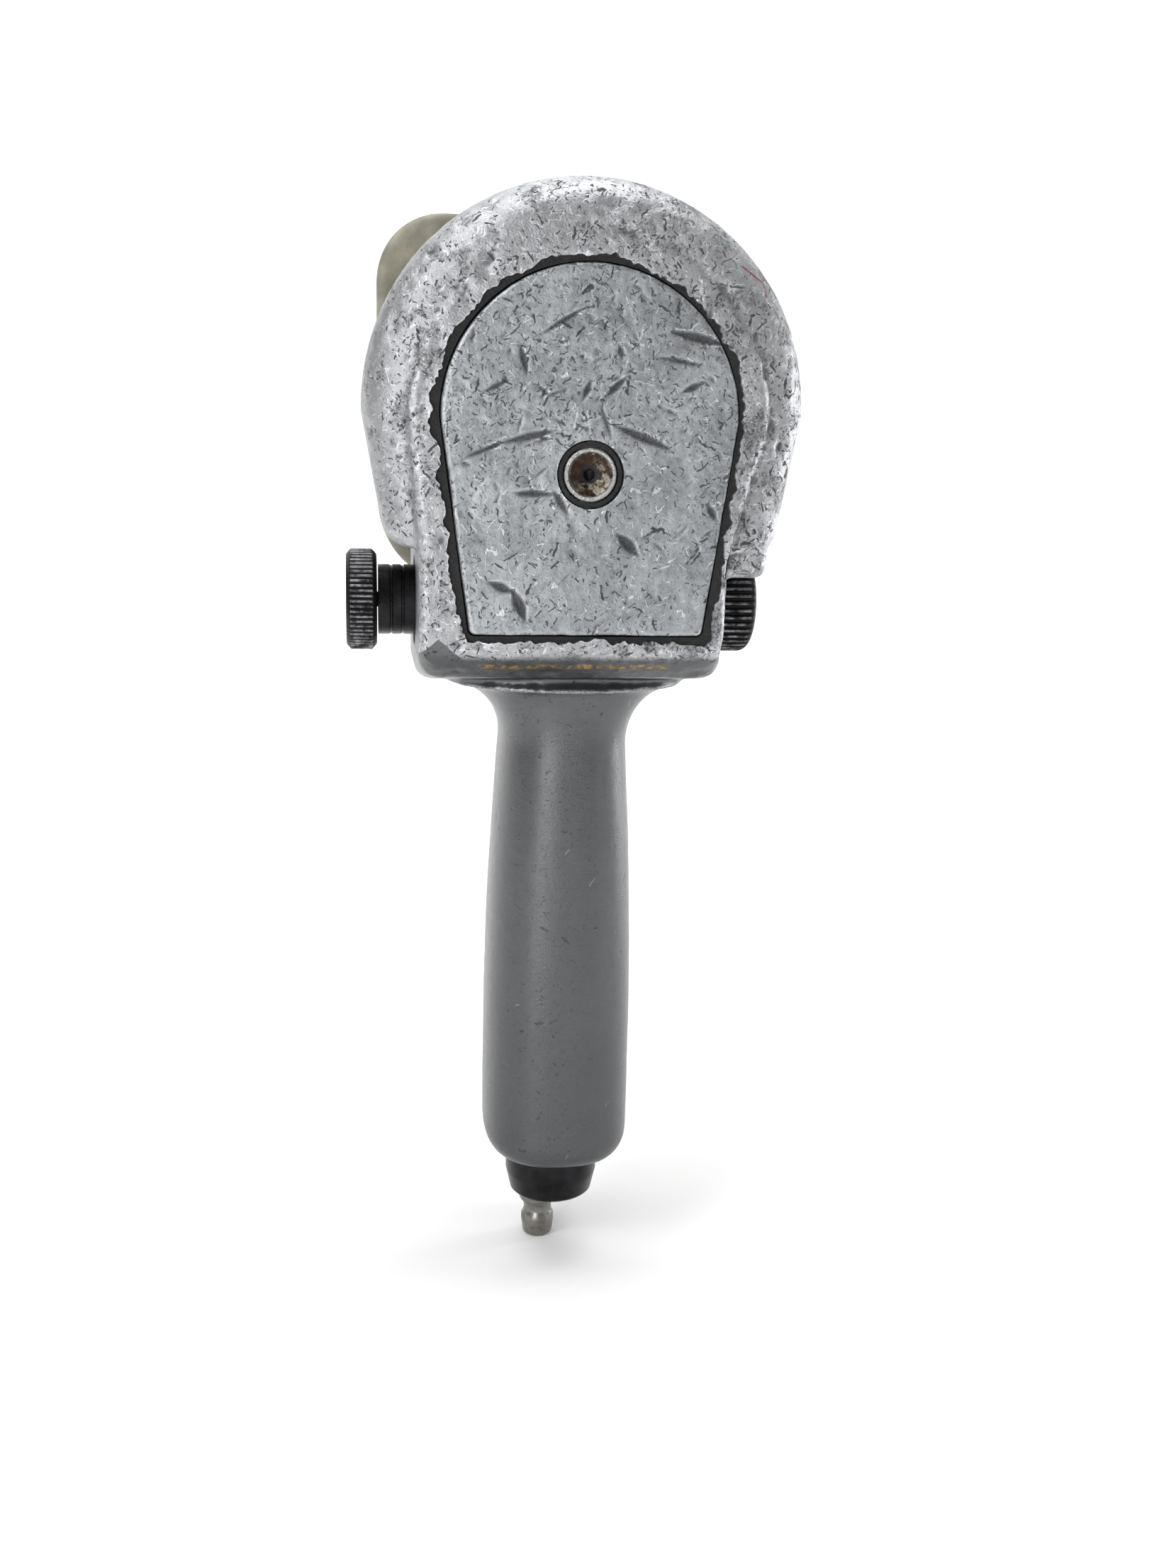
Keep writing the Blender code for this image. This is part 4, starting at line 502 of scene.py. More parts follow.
def plate_finish():
    """The cover plate: mid grey, scratched all ways and nicked, with bright worn edges that carry a painted
    highlight, and painted shade in its gouges and hollows.
    """
    f = Finish("battered_plate")
    cloud = f.noise(0.09, 4.0, 0.6)
    mottle = f.noise(0.7, 4.0, 0.62)
    grain = f.noise(2.4, 4.0, 0.65)
    upper = f.z.step(-16.0, -2.0)
    wear = f.noise(0.14, 2.0).step(0.36, 0.6)
    fine = f.nicks(1.0, 0.22, 1.2, 0.05 + wear * 0.18 + upper * 0.1)
    medium = f.nicks(0.6, 0.28, 2.0, 0.06 + wear * 0.15 + upper * 0.16)
    coarse = f.nicks(0.33, 0.36, 3.4, 0.05 + wear * 0.15 + upper * 0.16)
    hairs = f.nicks(0.22, 0.12, 7.0, 0.6).most(f.nicks(0.3, 0.1, 5.0, 0.5))
    bright = f.nicks(0.5, 0.28, 2.6, 0.22).most(f.nicks(0.8, 0.2, 1.7, 0.14))
    pits = (f.noise(1.5, 5.0, 0.68) + wear * 0.05).step(0.64, 0.68)
    edge = f.kept("edge")
    base = tuple_of(colours().plate)
    tone = cloud.step(0.32, 0.7) * 0.45 + mottle.step(0.3, 0.72) * 0.35 + grain.step(0.3, 0.7) * 0.2
    metal = f.mix(tone, scaled(base, 0.52), scaled(base, 1.2))
    metal = f.mix(bright * 0.5, metal, scaled(base, 2.0))
    metal = f.mix(hairs * 0.4, metal, scaled(base, 0.35))
    # Raised edges rubbed bright, with a painted highlight on them.
    metal = f.mix(edge.step(0.35, 0.95) * grain.step(0.3, 0.6) * 0.8, metal, scaled(base, 1.9))
    dirt_and_shade = (fine * 0.75).most(medium * 0.8).most(coarse * 0.9).most(pits * 0.6)
    # Painted shade in the gouges and the hollows joins the dirt in nicks and pits.
    dirt_and_shade = dirt_and_shade.most(f.kept("mark") * (0.5 + grain * 0.75)).most(edge.step(-0.3, -0.9) * 0.5)
    colour = f.mix(dirt_and_shade * 0.94, metal, tuple_of(colours().pit_and_shade))
    rough = 0.36 + mottle * 0.16 + grain * 0.06 + dirt_and_shade * 0.25
    height = mottle * 0.5 + grain * 0.2 - fine * 0.5 - medium * 0.6 - coarse * 0.8 - pits * 0.3 + bright * 0.3
    return f.finish(colour, rough, 0.95 - dirt_and_shade * 0.4, f.bump(height, 0.35 * MM, 0.85))


def olive_finish():
    f = Finish("olive_coating")
    cloud = f.noise(0.12, 3.0, 0.6)
    grain = f.noise(1.8, 4.0, 0.65)
    chips = (f.noise(0.55, 5.0, 0.65) + f.noise(0.09, 2.0) * 0.25).step(0.77, 0.8)
    base = tuple_of(colours().olive)
    coat = f.mix(cloud.step(0.3, 0.7), scaled(base, 0.75), scaled(base, 1.35))
    colour = f.mix(chips, coat, (0.42, 0.42, 0.41))
    rough = 0.5 + grain * 0.2 - chips * 0.15
    return f.finish(colour, rough, 0.35 + chips * 0.6, f.bump(grain * 0.5 - chips * 0.5, 0.3 * MM, 0.7))


def oxide_finish(name, axis_y, axis_z, rim, worn=0.5, rough=0.38):
    """Black oxide on steel, rubbed bright where the radius from an axis along X is over rim."""
    f = Finish(name)
    across = f.y - axis_y / MM
    up = f.z - axis_z / MM
    radius = (across * across + up * up) ** 0.5
    rub = radius.step(rim / MM - 0.12, rim / MM + 0.12) * f.noise(0.5, 4.0, 0.65).step(0.34, 0.66) * worn
    specks = f.noise(1.4, 4.0, 0.7).step(0.64, 0.74) * 0.25
    cloud = f.noise(0.2, 3.0).step(0.3, 0.7)
    base = tuple_of(colours().oxide)
    black = f.mix(cloud, scaled(base, 0.5), scaled(base, 1.2))
    colour = f.mix(rub.most(specks * 0.4), black, (0.34, 0.34, 0.35))
    grain = f.noise(2.5, 3.0, 0.6)
    return f.finish(colour, rough + grain * 0.18 - rub * 0.1, 0.85, f.bump(grain, 0.12 * MM, 0.5))


def steel_finish(name, tone, rough, stain=0.25, lines=(8.0, 0.4, 0.4)):
    """Turned or ground steel with fine lines and a brown stain."""
    f = Finish(name)
    turning = f.noise(0.8, 2.0, 0.5, f.stretched((0.0, 0.0, 0.0), lines))
    cloud = f.noise(0.25, 4.0, 0.6)
    brown = (cloud + f.noise(1.1, 3.0) * 0.25).step(0.62, 0.8) * stain
    metal = f.mix(turning, scaled(tone, 0.78), scaled(tone, 1.15))
    colour = f.mix(brown, metal, tuple_of(colours().rust))
    rough = rough + cloud * 0.18 + brown * 0.3
    return f.finish(colour, rough, 1.0 - brown * 0.5, f.bump(turning, 0.06 * MM, 0.4))


def rust_finish(centre_z, inner, outer):
    """The fitting: bright rim, with a dark brown dish inside a radius, a painted highlight on one side of the
    dish, and a port painted black as shade.
    """
    f = Finish("rusty_fitting")
    up = f.z - centre_z / MM
    radius = (f.x * f.x + up * up) ** 0.5
    wobble = f.noise(0.9, 3.0, 0.6) * 0.9
    dish = (radius + wobble).step(outer / MM + 0.7, outer / MM)
    # Painted shade: the port and the slope round it are painted near black.
    port = (radius + wobble * 0.4).step(inner / MM + 1.2, inner / MM + 0.6)
    patches = f.noise(0.9, 4.0, 0.7).step(0.36, 0.64)
    base = tuple_of(colours().rust)
    rusty = f.mix(patches, scaled(base, 0.3), base)
    # Painted highlight: pale patches on the half of the dish that faces the light.
    painted_sheen = f.noise(0.45, 3.0, 0.65).step(0.46, 0.6) * (f.x - up).step(-3.0, 3.0)
    rusty = f.mix(painted_sheen * 0.8, rusty, (0.36, 0.33, 0.27))
    colour = f.mix(dish * 0.97, (0.42, 0.42, 0.41), rusty)
    # Painted shade fills the port.
    colour = f.mix(port, colour, (0.006, 0.006, 0.006))
    rough = 0.24 + dish * 0.14 + patches * 0.12
    return f.finish(colour, rough, 0.95 - port * 0.7, f.bump(patches, 0.15 * MM, 0.7))


def rubber_finish():
    f = Finish("oily_rubber")
    grain = f.noise(1.6, 4.0, 0.65)
    dust = f.noise(0.35, 4.0, 0.7).step(0.55, 0.8) * 0.35
    colour = f.mix(dust, (0.007, 0.007, 0.0075), (0.05, 0.049, 0.047))
    return f.finish(colour, 0.5 + grain * 0.3, 0.0, f.bump(grain, 0.3 * MM, 0.8))


def plain_finish(name, tone, rough, metal, grain_scale=1.2, depth=0.1):
    """A simple finish with mottled colour and a fine grain, for small and inner pieces."""
    f = Finish(name)
    grain = f.noise(grain_scale, 4.0, 0.6)
    cloud = f.noise(grain_scale * 0.18, 3.0, 0.55)
    colour = f.mix(cloud.step(0.3, 0.7), scaled(tone, 0.75), scaled(tone, 1.25))
    return f.finish(colour, rough + grain * 0.15, metal, f.bump(grain, depth * MM, 0.6))


# Mesh work


def add_piece(name, mesh):
    piece = bpy.data.objects.new(name, mesh)
    bpy.context.scene.collection.objects.link(piece)
    return piece


def fit_out(piece, body, slot, finish, *nodes, angle=35):
    """Gives a finished mesh its body and finish, and hides the CAD nodes that it stands for. The slot is not
    used.
    """
    piece.data.materials.clear()
    piece.data.materials.append(finish)
    piece.data.shade_smooth()
    piece.data.set_sharp_from_angle(angle=math.radians(angle))
    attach(piece, body)
    if nodes:
        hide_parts(*nodes)


def settle(piece):
    """Applies every modifier of a piece."""
    bpy.context.view_layer.update()
    graph = bpy.context.evaluated_depsgraph_get()
    mesh = bpy.data.meshes.new_from_object(piece.evaluated_get(graph))
    old = piece.data
    piece.modifiers.clear()
    piece.data = mesh
    bpy.data.meshes.remove(old)
    return piece


def remesh(piece, voxel, smoothing):
    step = piece.modifiers.new("skin", "REMESH")
    step.mode = "VOXEL"
    step.voxel_size = voxel
    if smoothing:
        soft = piece.modifiers.new("soften", "SMOOTH")
        soft.factor = 0.5
        soft.iterations = smoothing
    return settle(piece)


def cut(piece, *cutters):
    """Takes each cutter out of a piece and removes the cutter."""
    for cutter in cutters:
        step = piece.modifiers.new(cutter.name, "BOOLEAN")
        step.operation = "DIFFERENCE"
        step.object = cutter
        step.solver = "MANIFOLD"
    settle(piece)
    for cutter in cutters:
        mesh = cutter.data
        bpy.data.objects.remove(cutter)
        bpy.data.meshes.remove(mesh)
    return piece


def merge(name, pieces):
    """One object that holds the meshes of several."""
    shape = bmesh.new()
    for piece in pieces:
        shape.from_mesh(piece.data)
        mesh = piece.data
        bpy.data.objects.remove(piece)
        bpy.data.meshes.remove(mesh)
    mesh = bpy.data.meshes.new(name)
    shape.to_mesh(mesh)
    shape.free()
    return add_piece(name, mesh)


def loft(name, sections):
    """A closed skin over sections that all have the same number of points."""
    shape = bmesh.new()
    rings = [[shape.verts.new(point) for point in section] for section in sections]
    count = len(rings[0])
    for here, after in zip(rings, rings[1:]):
        for i in range(count):
            j = (i + 1) % count
            shape.faces.new((here[i], here[j], after[j], after[i]))
    shape.faces.new(reversed(rings[0]))
    shape.faces.new(rings[-1])
    bmesh.ops.recalc_face_normals(shape, faces=shape.faces)
    mesh = bpy.data.meshes.new(name)
    shape.to_mesh(mesh)
    shape.free()
    return add_piece(name, mesh)


TURNS = {"X": Euler((0, math.pi / 2, 0)), "Y": Euler((-math.pi / 2, 0, 0)), "Z": Euler((0, 0, 0))}


def turned(name, profile, axis="Y", at=(0, 0, 0), steps=72):
    """Turns (radius, distance) points about an axis through a place. The profile runs down the outer
    side, and then up the bore if it doesn't start on the axis."""
    mesh = bpy.data.meshes.new(name)
    edges = [(i, i + 1) for i in range(len(profile) - 1)]
    if profile[0][0] > 0:
        edges.append((len(profile) - 1, 0))
    mesh.from_pydata([(radius, 0, along) for radius, along in profile], edges, [])
    piece = add_piece(name, mesh)
    screw = piece.modifiers.new("turn", "SCREW")
    screw.steps = steps
    screw.render_steps = steps
    screw.use_merge_vertices = True
    screw.merge_threshold = 0.00001
    settle(piece)
    turn = TURNS[axis].to_matrix().to_4x4()
    turn.translation = Vector(at)
    piece.data.transform(turn)
    return piece


def rod(name, radius, start, end, axis="Y", at=(0, 0, 0), steps=48):
    return turned(name, [(0, end), (radius, end), (radius, start), (0, start)], axis, at, steps)


def arc(centre_x, centre_y, radius, start, end, steps):
    points = []
    for i in range(steps + 1):
        angle = math.radians(start + (end - start) * i / steps)
        points.append((centre_x + radius * math.cos(angle), centre_y + radius * math.sin(angle)))
    return points


def horseshoe(half_width, arch_z, foot_left, foot_right, foot_z, corner, arch_steps=72, leg_steps=14):
    """An arch on two legs that lean in to a flat foot, as evenly spaced (x, z) points."""
    points = arc(0, arch_z, half_width, 0, 180, arch_steps)
    left = arc(foot_left + corner, foot_z + corner, corner, 180, 270, 6)
    right = arc(foot_right - corner, foot_z + corner, corner, 270, 360, 6)
    points += between(points[-1], left[0], leg_steps) + left
    points += between(left[-1], right[0], leg_steps) + right
    points += between(right[-1], points[0], leg_steps)
    return points


def between(start, end, steps):
    """The points strictly between two points."""
    shares = [i / steps for i in range(1, steps)]
    return [(start[0] + (end[0] - start[0]) * s, start[1] + (end[1] - start[1]) * s) for s in shares]


def across(outline, y):
    return [(x, y, z) for x, z in outline]


def cover_outline(grow, ragged=0.0, seed=0.0):
    """The cover's outline moved out by grow, with a ragged edge where asked for."""
    corner = 1.2 * MM + max(0, grow)
    foot = COVER_FOOT_HALF_WIDTH + grow
    outline = horseshoe(COVER_HIGH.x + grow, ARCH_Z, -foot, foot, COVER_LOW.z - grow, corner, 260, 120)
    if not ragged:
        return outline
    points = []
    for x, z in outline:
        wide = max(0, -x / COVER_HIGH.x) * 0.35 + (0.35 if x > 8 * MM and z < -20 * MM else 0) - 0.1
        bites = []
        for scale in (0.13, 0.4, 0.95):
            bites.append(noise.noise(Vector((x / MM * scale, seed + scale, z / MM * scale))))
        reach = max(-1.0 * MM, ragged * (wide + bites[0] + 0.7 * bites[1] + 0.45 * bites[2]))
        away = Vector((x, z + 8 * MM)).normalized()
        points.append((x + away.x * reach, z + away.y * reach))
    return points


def prism(name, outline, start, end):
    return loft(name, [across(outline, start), across(outline, end)])


def vertex_arrays(mesh):
    places = np.empty(len(mesh.vertices) * 3)
    normals = np.empty(len(mesh.vertices) * 3)
    mesh.vertices.foreach_get("co", places)
    mesh.vertices.foreach_get("normal", normals)
    return places.reshape(-1, 3), normals.reshape(-1, 3)


def move_in(piece, depth):
    """Moves each vertex in along its normal by its own depth."""
    places, normals = vertex_arrays(piece.data)
    places = places - normals * depth[:, None]
    piece.data.vertices.foreach_set("co", places.ravel())
    piece.data.update()


def waviness(places, scale, seed):
    """Smooth noise between -1 and 1 at each place. Scale is in features per millimetre."""
    factor = scale / MM
    return np.array([noise.noise(Vector((x * factor, y * factor + seed, z * factor))) for x, y, z in places])


def gouge_depth(places, start, end, width, depth):
    """Depth of a V-shaped stroke between two places, deepest in its middle."""
    start, end = np.array(start), np.array(end)
    run = end - start
    share = np.clip((places - start) @ run / (run @ run), 0, 1)
    gap = np.linalg.norm(places - start - share[:, None] * run, axis=1)
    taper = 0.35 + 0.65 * np.sin(np.pi * np.clip(share, 0.02, 0.98))
    return depth * taper * np.clip(1 - gap / (width * taper), 0, 1) ** 1.4


def dent_depth(places, centre, radius, depth):
    gap = np.linalg.norm(places - np.array(centre), axis=1)
    return depth * np.clip(1 - (gap / radius) ** 2, 0, 1) ** 2


# The pieces


def head_form():
    """The round head. Its dome starts at the frame's edge, nearer the rear at the top."""
    s = sizes()
    rim = COVER_HIGH.x + s.frame_margin
    stations = []
    for step in range(15):
        angle = math.pi / 2 * step / 14
        inset = (s.head_radius - rim) * (1 - math.sin(angle))
        stations.append((HEAD_START_Y + HEAD_DOME_LENGTH * (1 - math.cos(angle)), inset))
    stations += [(y * MM, 0) for y in (16, 24, 32, 40, 48, 54, 58)]
    stations += [(HOUSING_HIGH.y - 1 * MM, 0.6 * MM), (HOUSING_HIGH.y, 1 * MM)]
    rings = []
    for y, inset in stations:
        foot = s.head_foot_half_width - inset
        ring = []
        for x, z in horseshoe(s.head_radius - inset, 0, -foot, foot, s.head_foot_z, 5 * MM):
            top = min(1, max(0.0, (z - 2 * MM) / (26 * MM)))
            top = top * top * (3 - 2 * top)
            ring.append((x, y - 2 * MM * top * max(0, 1 - y / (20 * MM)), z))
        rings.append(ring)
    return loft("head_form", rings)


def block_form():
    """The block round the cover and the valve. Its right side leans in towards the rear."""
    s = sizes()
    frame_foot = COVER_LOW.z - s.frame_foot_margin
    rings = []
    for y, inset, foot in (
        (0, 1.3, frame_foot + 1.3 * MM),
        (0.3, 0.7, frame_foot + 0.6 * MM),
        (0.8, 0.2, frame_foot),
        (1.6, 0, frame_foot - 0.9 * MM),
        (4, 0, frame_foot - 2.9 * MM),
        (7, 0, CHAMFER_Z),
        (17, 0, -54.3 * MM),
        (34, 0, s.block_foot_z),
        (53, 0, s.block_foot_z),
        (54, 0.8, s.block_foot_z + 0.8 * MM),
    ):
        inset = inset * MM
        lean = min(1, y / RIGHT_SLOPE_Y)
        right = s.block_rear_right + (s.block_right - s.block_rear_right) * lean - inset
        half = COVER_HIGH.x + s.frame_margin - inset
        outline = horseshoe(half, ARCH_Z, s.block_left + inset, right, foot, 4 * MM)
        knee = right + KNEE_SWELL * (1 - lean)
        leaned = []
        for x, z in outline:
            share = min(1, max(0, (ARCH_Z - z) / KNEE_DEPTH))
            x = min(x, half + (knee - half) * share)
            x = max(x, -half + (s.block_left + inset + half) * share)
            leaned.append((x, z))
        rings.append(across(leaned, y * MM))
    return loft("block_form", rings)


def handle_section(z, half_width, half_depth):
    """A rounded rectangle across the handle at one height."""
    section = []
    for i in range(96):
        angle = 2 * math.pi * i / 96
        c, s = math.cos(angle), math.sin(angle)
        x = half_width * math.copysign(abs(c) ** 0.77, c)
        y = HANDLE_Y + half_depth * math.copysign(abs(s) ** 0.77, s)
        section.append((x, y, z))
    return section


def handle_form():
    """The handle, from its flared root down to its rounded end."""
    root_z = sizes().block_foot_z
    deep = HANDLE_HALF_DEPTH
    rings = [handle_section(root_z + 8 * MM, NECK_HALF_WIDTH + FILLET_WIDTH, deep - 3 * MM)]
    for step in range(15):
        angle = math.pi / 2 * step / 14
        flare = 1 - math.sin(angle)
        z = root_z - FILLET_HEIGHT * (1 - math.cos(angle))
        rings.append(handle_section(z, NECK_HALF_WIDTH + FILLET_WIDTH * flare, deep + FILLET_DEPTH * flare))
    neck_z = root_z - FILLET_HEIGHT
    for step in range(1, 13):
        share = step / 12
        swell = (GRIP_HALF_WIDTH - NECK_HALF_WIDTH) * math.sin(math.pi / 2 * share)
        rings.append(handle_section(neck_z + (GRIP_Z - neck_z) * share, NECK_HALF_WIDTH + swell, deep))
    for step in range(10):
        angle = math.pi / 2 * step / 9
        z = HANDLE_END_Z + HANDLE_END_ROUND * (1 - math.sin(angle))
        inset = HANDLE_END_INSET * (1 - math.cos(angle))
        rings.append(handle_section(z, GRIP_HALF_WIDTH - inset, deep - inset))
    return loft("handle_form", rings)


def lug_form():
    """The lug that the right side of the head hangs in front of the dial."""
    s = sizes()
    rings = []
    for y, inset in ((5, 2.2), (5.6, 1), (6.8, 0.2), (8, 0), (16, 0), (17.6, 0.4), (18.3, 1.2), (18.6, 2.2)):
        inset = inset * MM
        low, high = s.head_foot_z - 5.2 * MM + inset, s.head_foot_z + 5.2 * MM
        left, right = s.block_rear_right - 2 * MM, 37.6 * MM - inset
        corner = 1.6 * MM
        outline = [(left, high), (left, low)] + arc(right - corner, low + corner, corner, 270, 360, 6)
        outline += [(38.3 * MM - inset, high)]
        rings.append(across(outline, y * MM))
    return loft("lug_form", rings)


def choose_marks(places):
    """Dents and gouges spread over a casting, most of all on its rear, as depth functions."""
    s = sizes()
    chance = random.Random(s.seed)
    weights = 0.012 + rear_share(places)
    marks = []
    for index in chance.choices(range(len(places)), weights=weights, k=s.dents):
        reach = chance.uniform(0.8, 2.6) * MM
        marks.append((dent_depth, (places[index], reach, reach * chance.uniform(0.05, 0.17))))
    for index in chance.choices(range(len(places)), weights=weights, k=s.dents // 3):
        swing = Vector((chance.uniform(-1, 1), chance.uniform(-0.4, 0.4), chance.uniform(-1, 1))).normalized()
        end = places[index] + np.array(swing) * chance.uniform(1.5, 6) * MM
        width, depth = chance.uniform(0.6, 1.0) * MM, chance.uniform(0.15, 0.4) * MM
        marks.append((gouge_depth, (places[index], end, width, depth)))
    return marks


def rear_share(places):
    """1 on the rear of the casting and 0 on its sides and handle."""
    rear = np.clip((14 * MM - places[:, 1]) / (10 * MM), 0, 1)
    return rear * (places[:, 2] > sizes().block_foot_z + 4 * MM)


def dents_at(places, marks):
    return sum(work(places, *values) for work, values in marks)


def convexity(mesh):
    """How far each vertex stands out from the middle of its neighbours, smoothed once."""
    places, normals = vertex_arrays(mesh)
    ends = np.empty(len(mesh.edges) * 2, dtype=np.int32)
    mesh.edges.foreach_get("vertices", ends)
    ends = ends.reshape(-1, 2)
    both = np.concatenate([ends, ends[:, ::-1]])
    counts = np.maximum(np.bincount(both[:, 0], minlength=len(places)), 1)

    def middle(values):
        return np.bincount(both[:, 0], values[both[:, 1]], len(places)) / counts

    around = np.stack([middle(places[:, i]) for i in range(3)], axis=1)
    stand = ((places - around) * normals).sum(axis=1)
    return (stand + middle(stand)) / 2


def keep_value(piece, name, values):
    attribute = piece.data.attributes.new(name, "FLOAT", "POINT")
    attribute.data.foreach_set("value", values.astype(np.float32))


def keep_marks(piece, marks, rise, flat=False):
    """Writes on the mesh what its finish reads: the depth of the gouges, and where edges stand out."""
    places, _ = vertex_arrays(piece.data)
    if flat:
        places[:, 1] *= places[:, 1] > 1.5 * MM
    gouges = [mark for mark in marks if mark[0] is gouge_depth]
    keep_value(piece, "mark", np.clip(dents_at(places, gouges) / (0.18 * MM) - 0.2, 0, 1))
    keep_value(piece, "edge", np.clip(convexity(piece.data) / rise, -1, 1))


def batter(piece, marks):
    """Dents and waves the casting, most of all round the rear frame."""
    places, _ = vertex_arrays(piece.data)
    rear = rear_share(places)
    depth = dents_at(places, marks) + waviness(places, 0.07, 3.0) * 0.1 * MM
    depth += waviness(places, 0.42, 11.0) * (0.02 + 0.09 * rear) * MM
    depth += waviness(places, 1.05, 5.0) * (0.01 + 0.08 * rear) * MM
    move_in(piece, np.clip(depth, -0.2 * MM, 1.2 * MM))


def notch_cutter():
    """The wedge that chips the frame's lower left corner."""
    apex, low_left, low_right = (-29.1, -44.2), (-36.5, -52.0), (-23.5, -52.0)
    front = [(x * MM, -3 * MM, z * MM) for x, z in (apex, low_left, low_right)]
    back = [(x * MM, y * MM, z * MM) for (x, z), y in ((apex, -0.2), (low_left, 4.6), (low_right, 4.2))]
    return loft("notch_cutter", [front, back])


def housing_cutters():
    """What is taken out of the casting: the groove, the bores and the bolt holes."""
    motor_radius = LINER_HIGH.x + SKIN_GAP
    motor_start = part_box("rear_end_plate")[0].y - SKIN_GAP
    sleeve_radius = (SLEEVE_HIGH.z - SLEEVE_LOW.z) / 2 + SKIN_GAP
    inlet_radius = (SEAT_HIGH.x - SEAT_LOW.x) / 2 + SKIN_GAP
    guide_radius = (GUIDE_HIGH.x - GUIDE_LOW.x) / 2 + SKIN_GAP
    guide_z = (GUIDE_LOW.z + GUIDE_HIGH.z) / 2
    screw = (SCREW_LOW + SCREW_HIGH) / 2
    below = HANDLE_END_Z - 9 * MM
    spool_y, spool_z = SPOOL_CENTRE.y, SPOOL_CENTRE.z
    cutters = [
        notch_cutter(),
        prism("recess_cutter", cover_outline(1.35 * MM, 1.25 * MM, 4.0), -4 * MM, 1.6 * MM),
        prism("seat_cutter", cover_outline(3.2 * MM), 1.4 * MM, GASKET_HIGH.y + SKIN_GAP),
        rod("motor_cutter", motor_radius, motor_start, HOUSING_HIGH.y + 5 * MM, steps=ROUND_STEPS),
        rod("fitting_cutter", BOLT_HOLE_RADIUS, 0, FITTING_HIGH.y + 6 * MM, at=(0, 0, FITTING_Z)),
        rod("sleeve_cutter", sleeve_radius, -60 * MM, 60 * MM, "X", (0, spool_y, spool_z)),
        rod("inlet_cutter", inlet_radius, below, INLET_TOP_Z, "Z", (0, INLET_Y, 0)),
        rod("riser_cutter", RISER_RADIUS, INLET_TOP_Z - 1 * MM, spool_z, "Z", (0, RISER_Y, 0)),
        rod("exhaust_cutter", EXHAUST_RADIUS, below, spool_z, "Z", (0, EXHAUST_Y, 0)),
        rod("guide_cutter", guide_radius, INLET_Y, 70 * MM, at=(0, 0, guide_z)),
        rod("detent_cutter", 1.9 * MM, spool_y, 60 * MM, at=(screw.x, 0, screw.z)),
    ]
    for number in range(1, 5):
        low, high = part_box(f"case_bolt_{number}")
        at = ((low.x + high.x) / 2, 0, (low.z + high.z) / 2)
        cutters.append(rod(f"bolt_cutter_{number}", BOLT_HOLE_RADIUS, low.y - 2 * MM, 70 * MM, at=at))
    return cutters


def build_casting():
    casting = merge("motor_casting", [head_form(), block_form(), handle_form(), lug_form()])
    remesh(casting, sizes().voxel, 5)
    marks = choose_marks(vertex_arrays(casting.data)[0])
    batter(casting, marks)
    cut(casting, *housing_cutters())
    keep_marks(casting, marks, 0.06 * MM)
    fit_out(casting, "housing", "cast_aluminium", cast_finish(), "motor_housing", angle=50)


def case_outline(inset):
    """The flange's outline, a square with larger corners at its foot."""
    side = CASE_HIGH.x - inset
    top_z, foot_z = CASE_HIGH.z - inset, CASE_LOW.z + inset
    top_corner, foot_corner = 15 * MM, 20 * MM
    corners = (
        arc(side - top_corner, top_z - top_corner, top_corner, 0, 90, 14),
        arc(-side + top_corner, top_z - top_corner, top_corner, 90, 180, 14),
        arc(-side + foot_corner, foot_z + foot_corner, foot_corner, 180, 270, 14),
        arc(side - foot_corner, foot_z + foot_corner, foot_corner, 270, 360, 14),
    )
    points = []
    for i, here in enumerate(corners):
        points += here + between(here[-1], corners[(i + 1) % 4][0], 12)
    return points


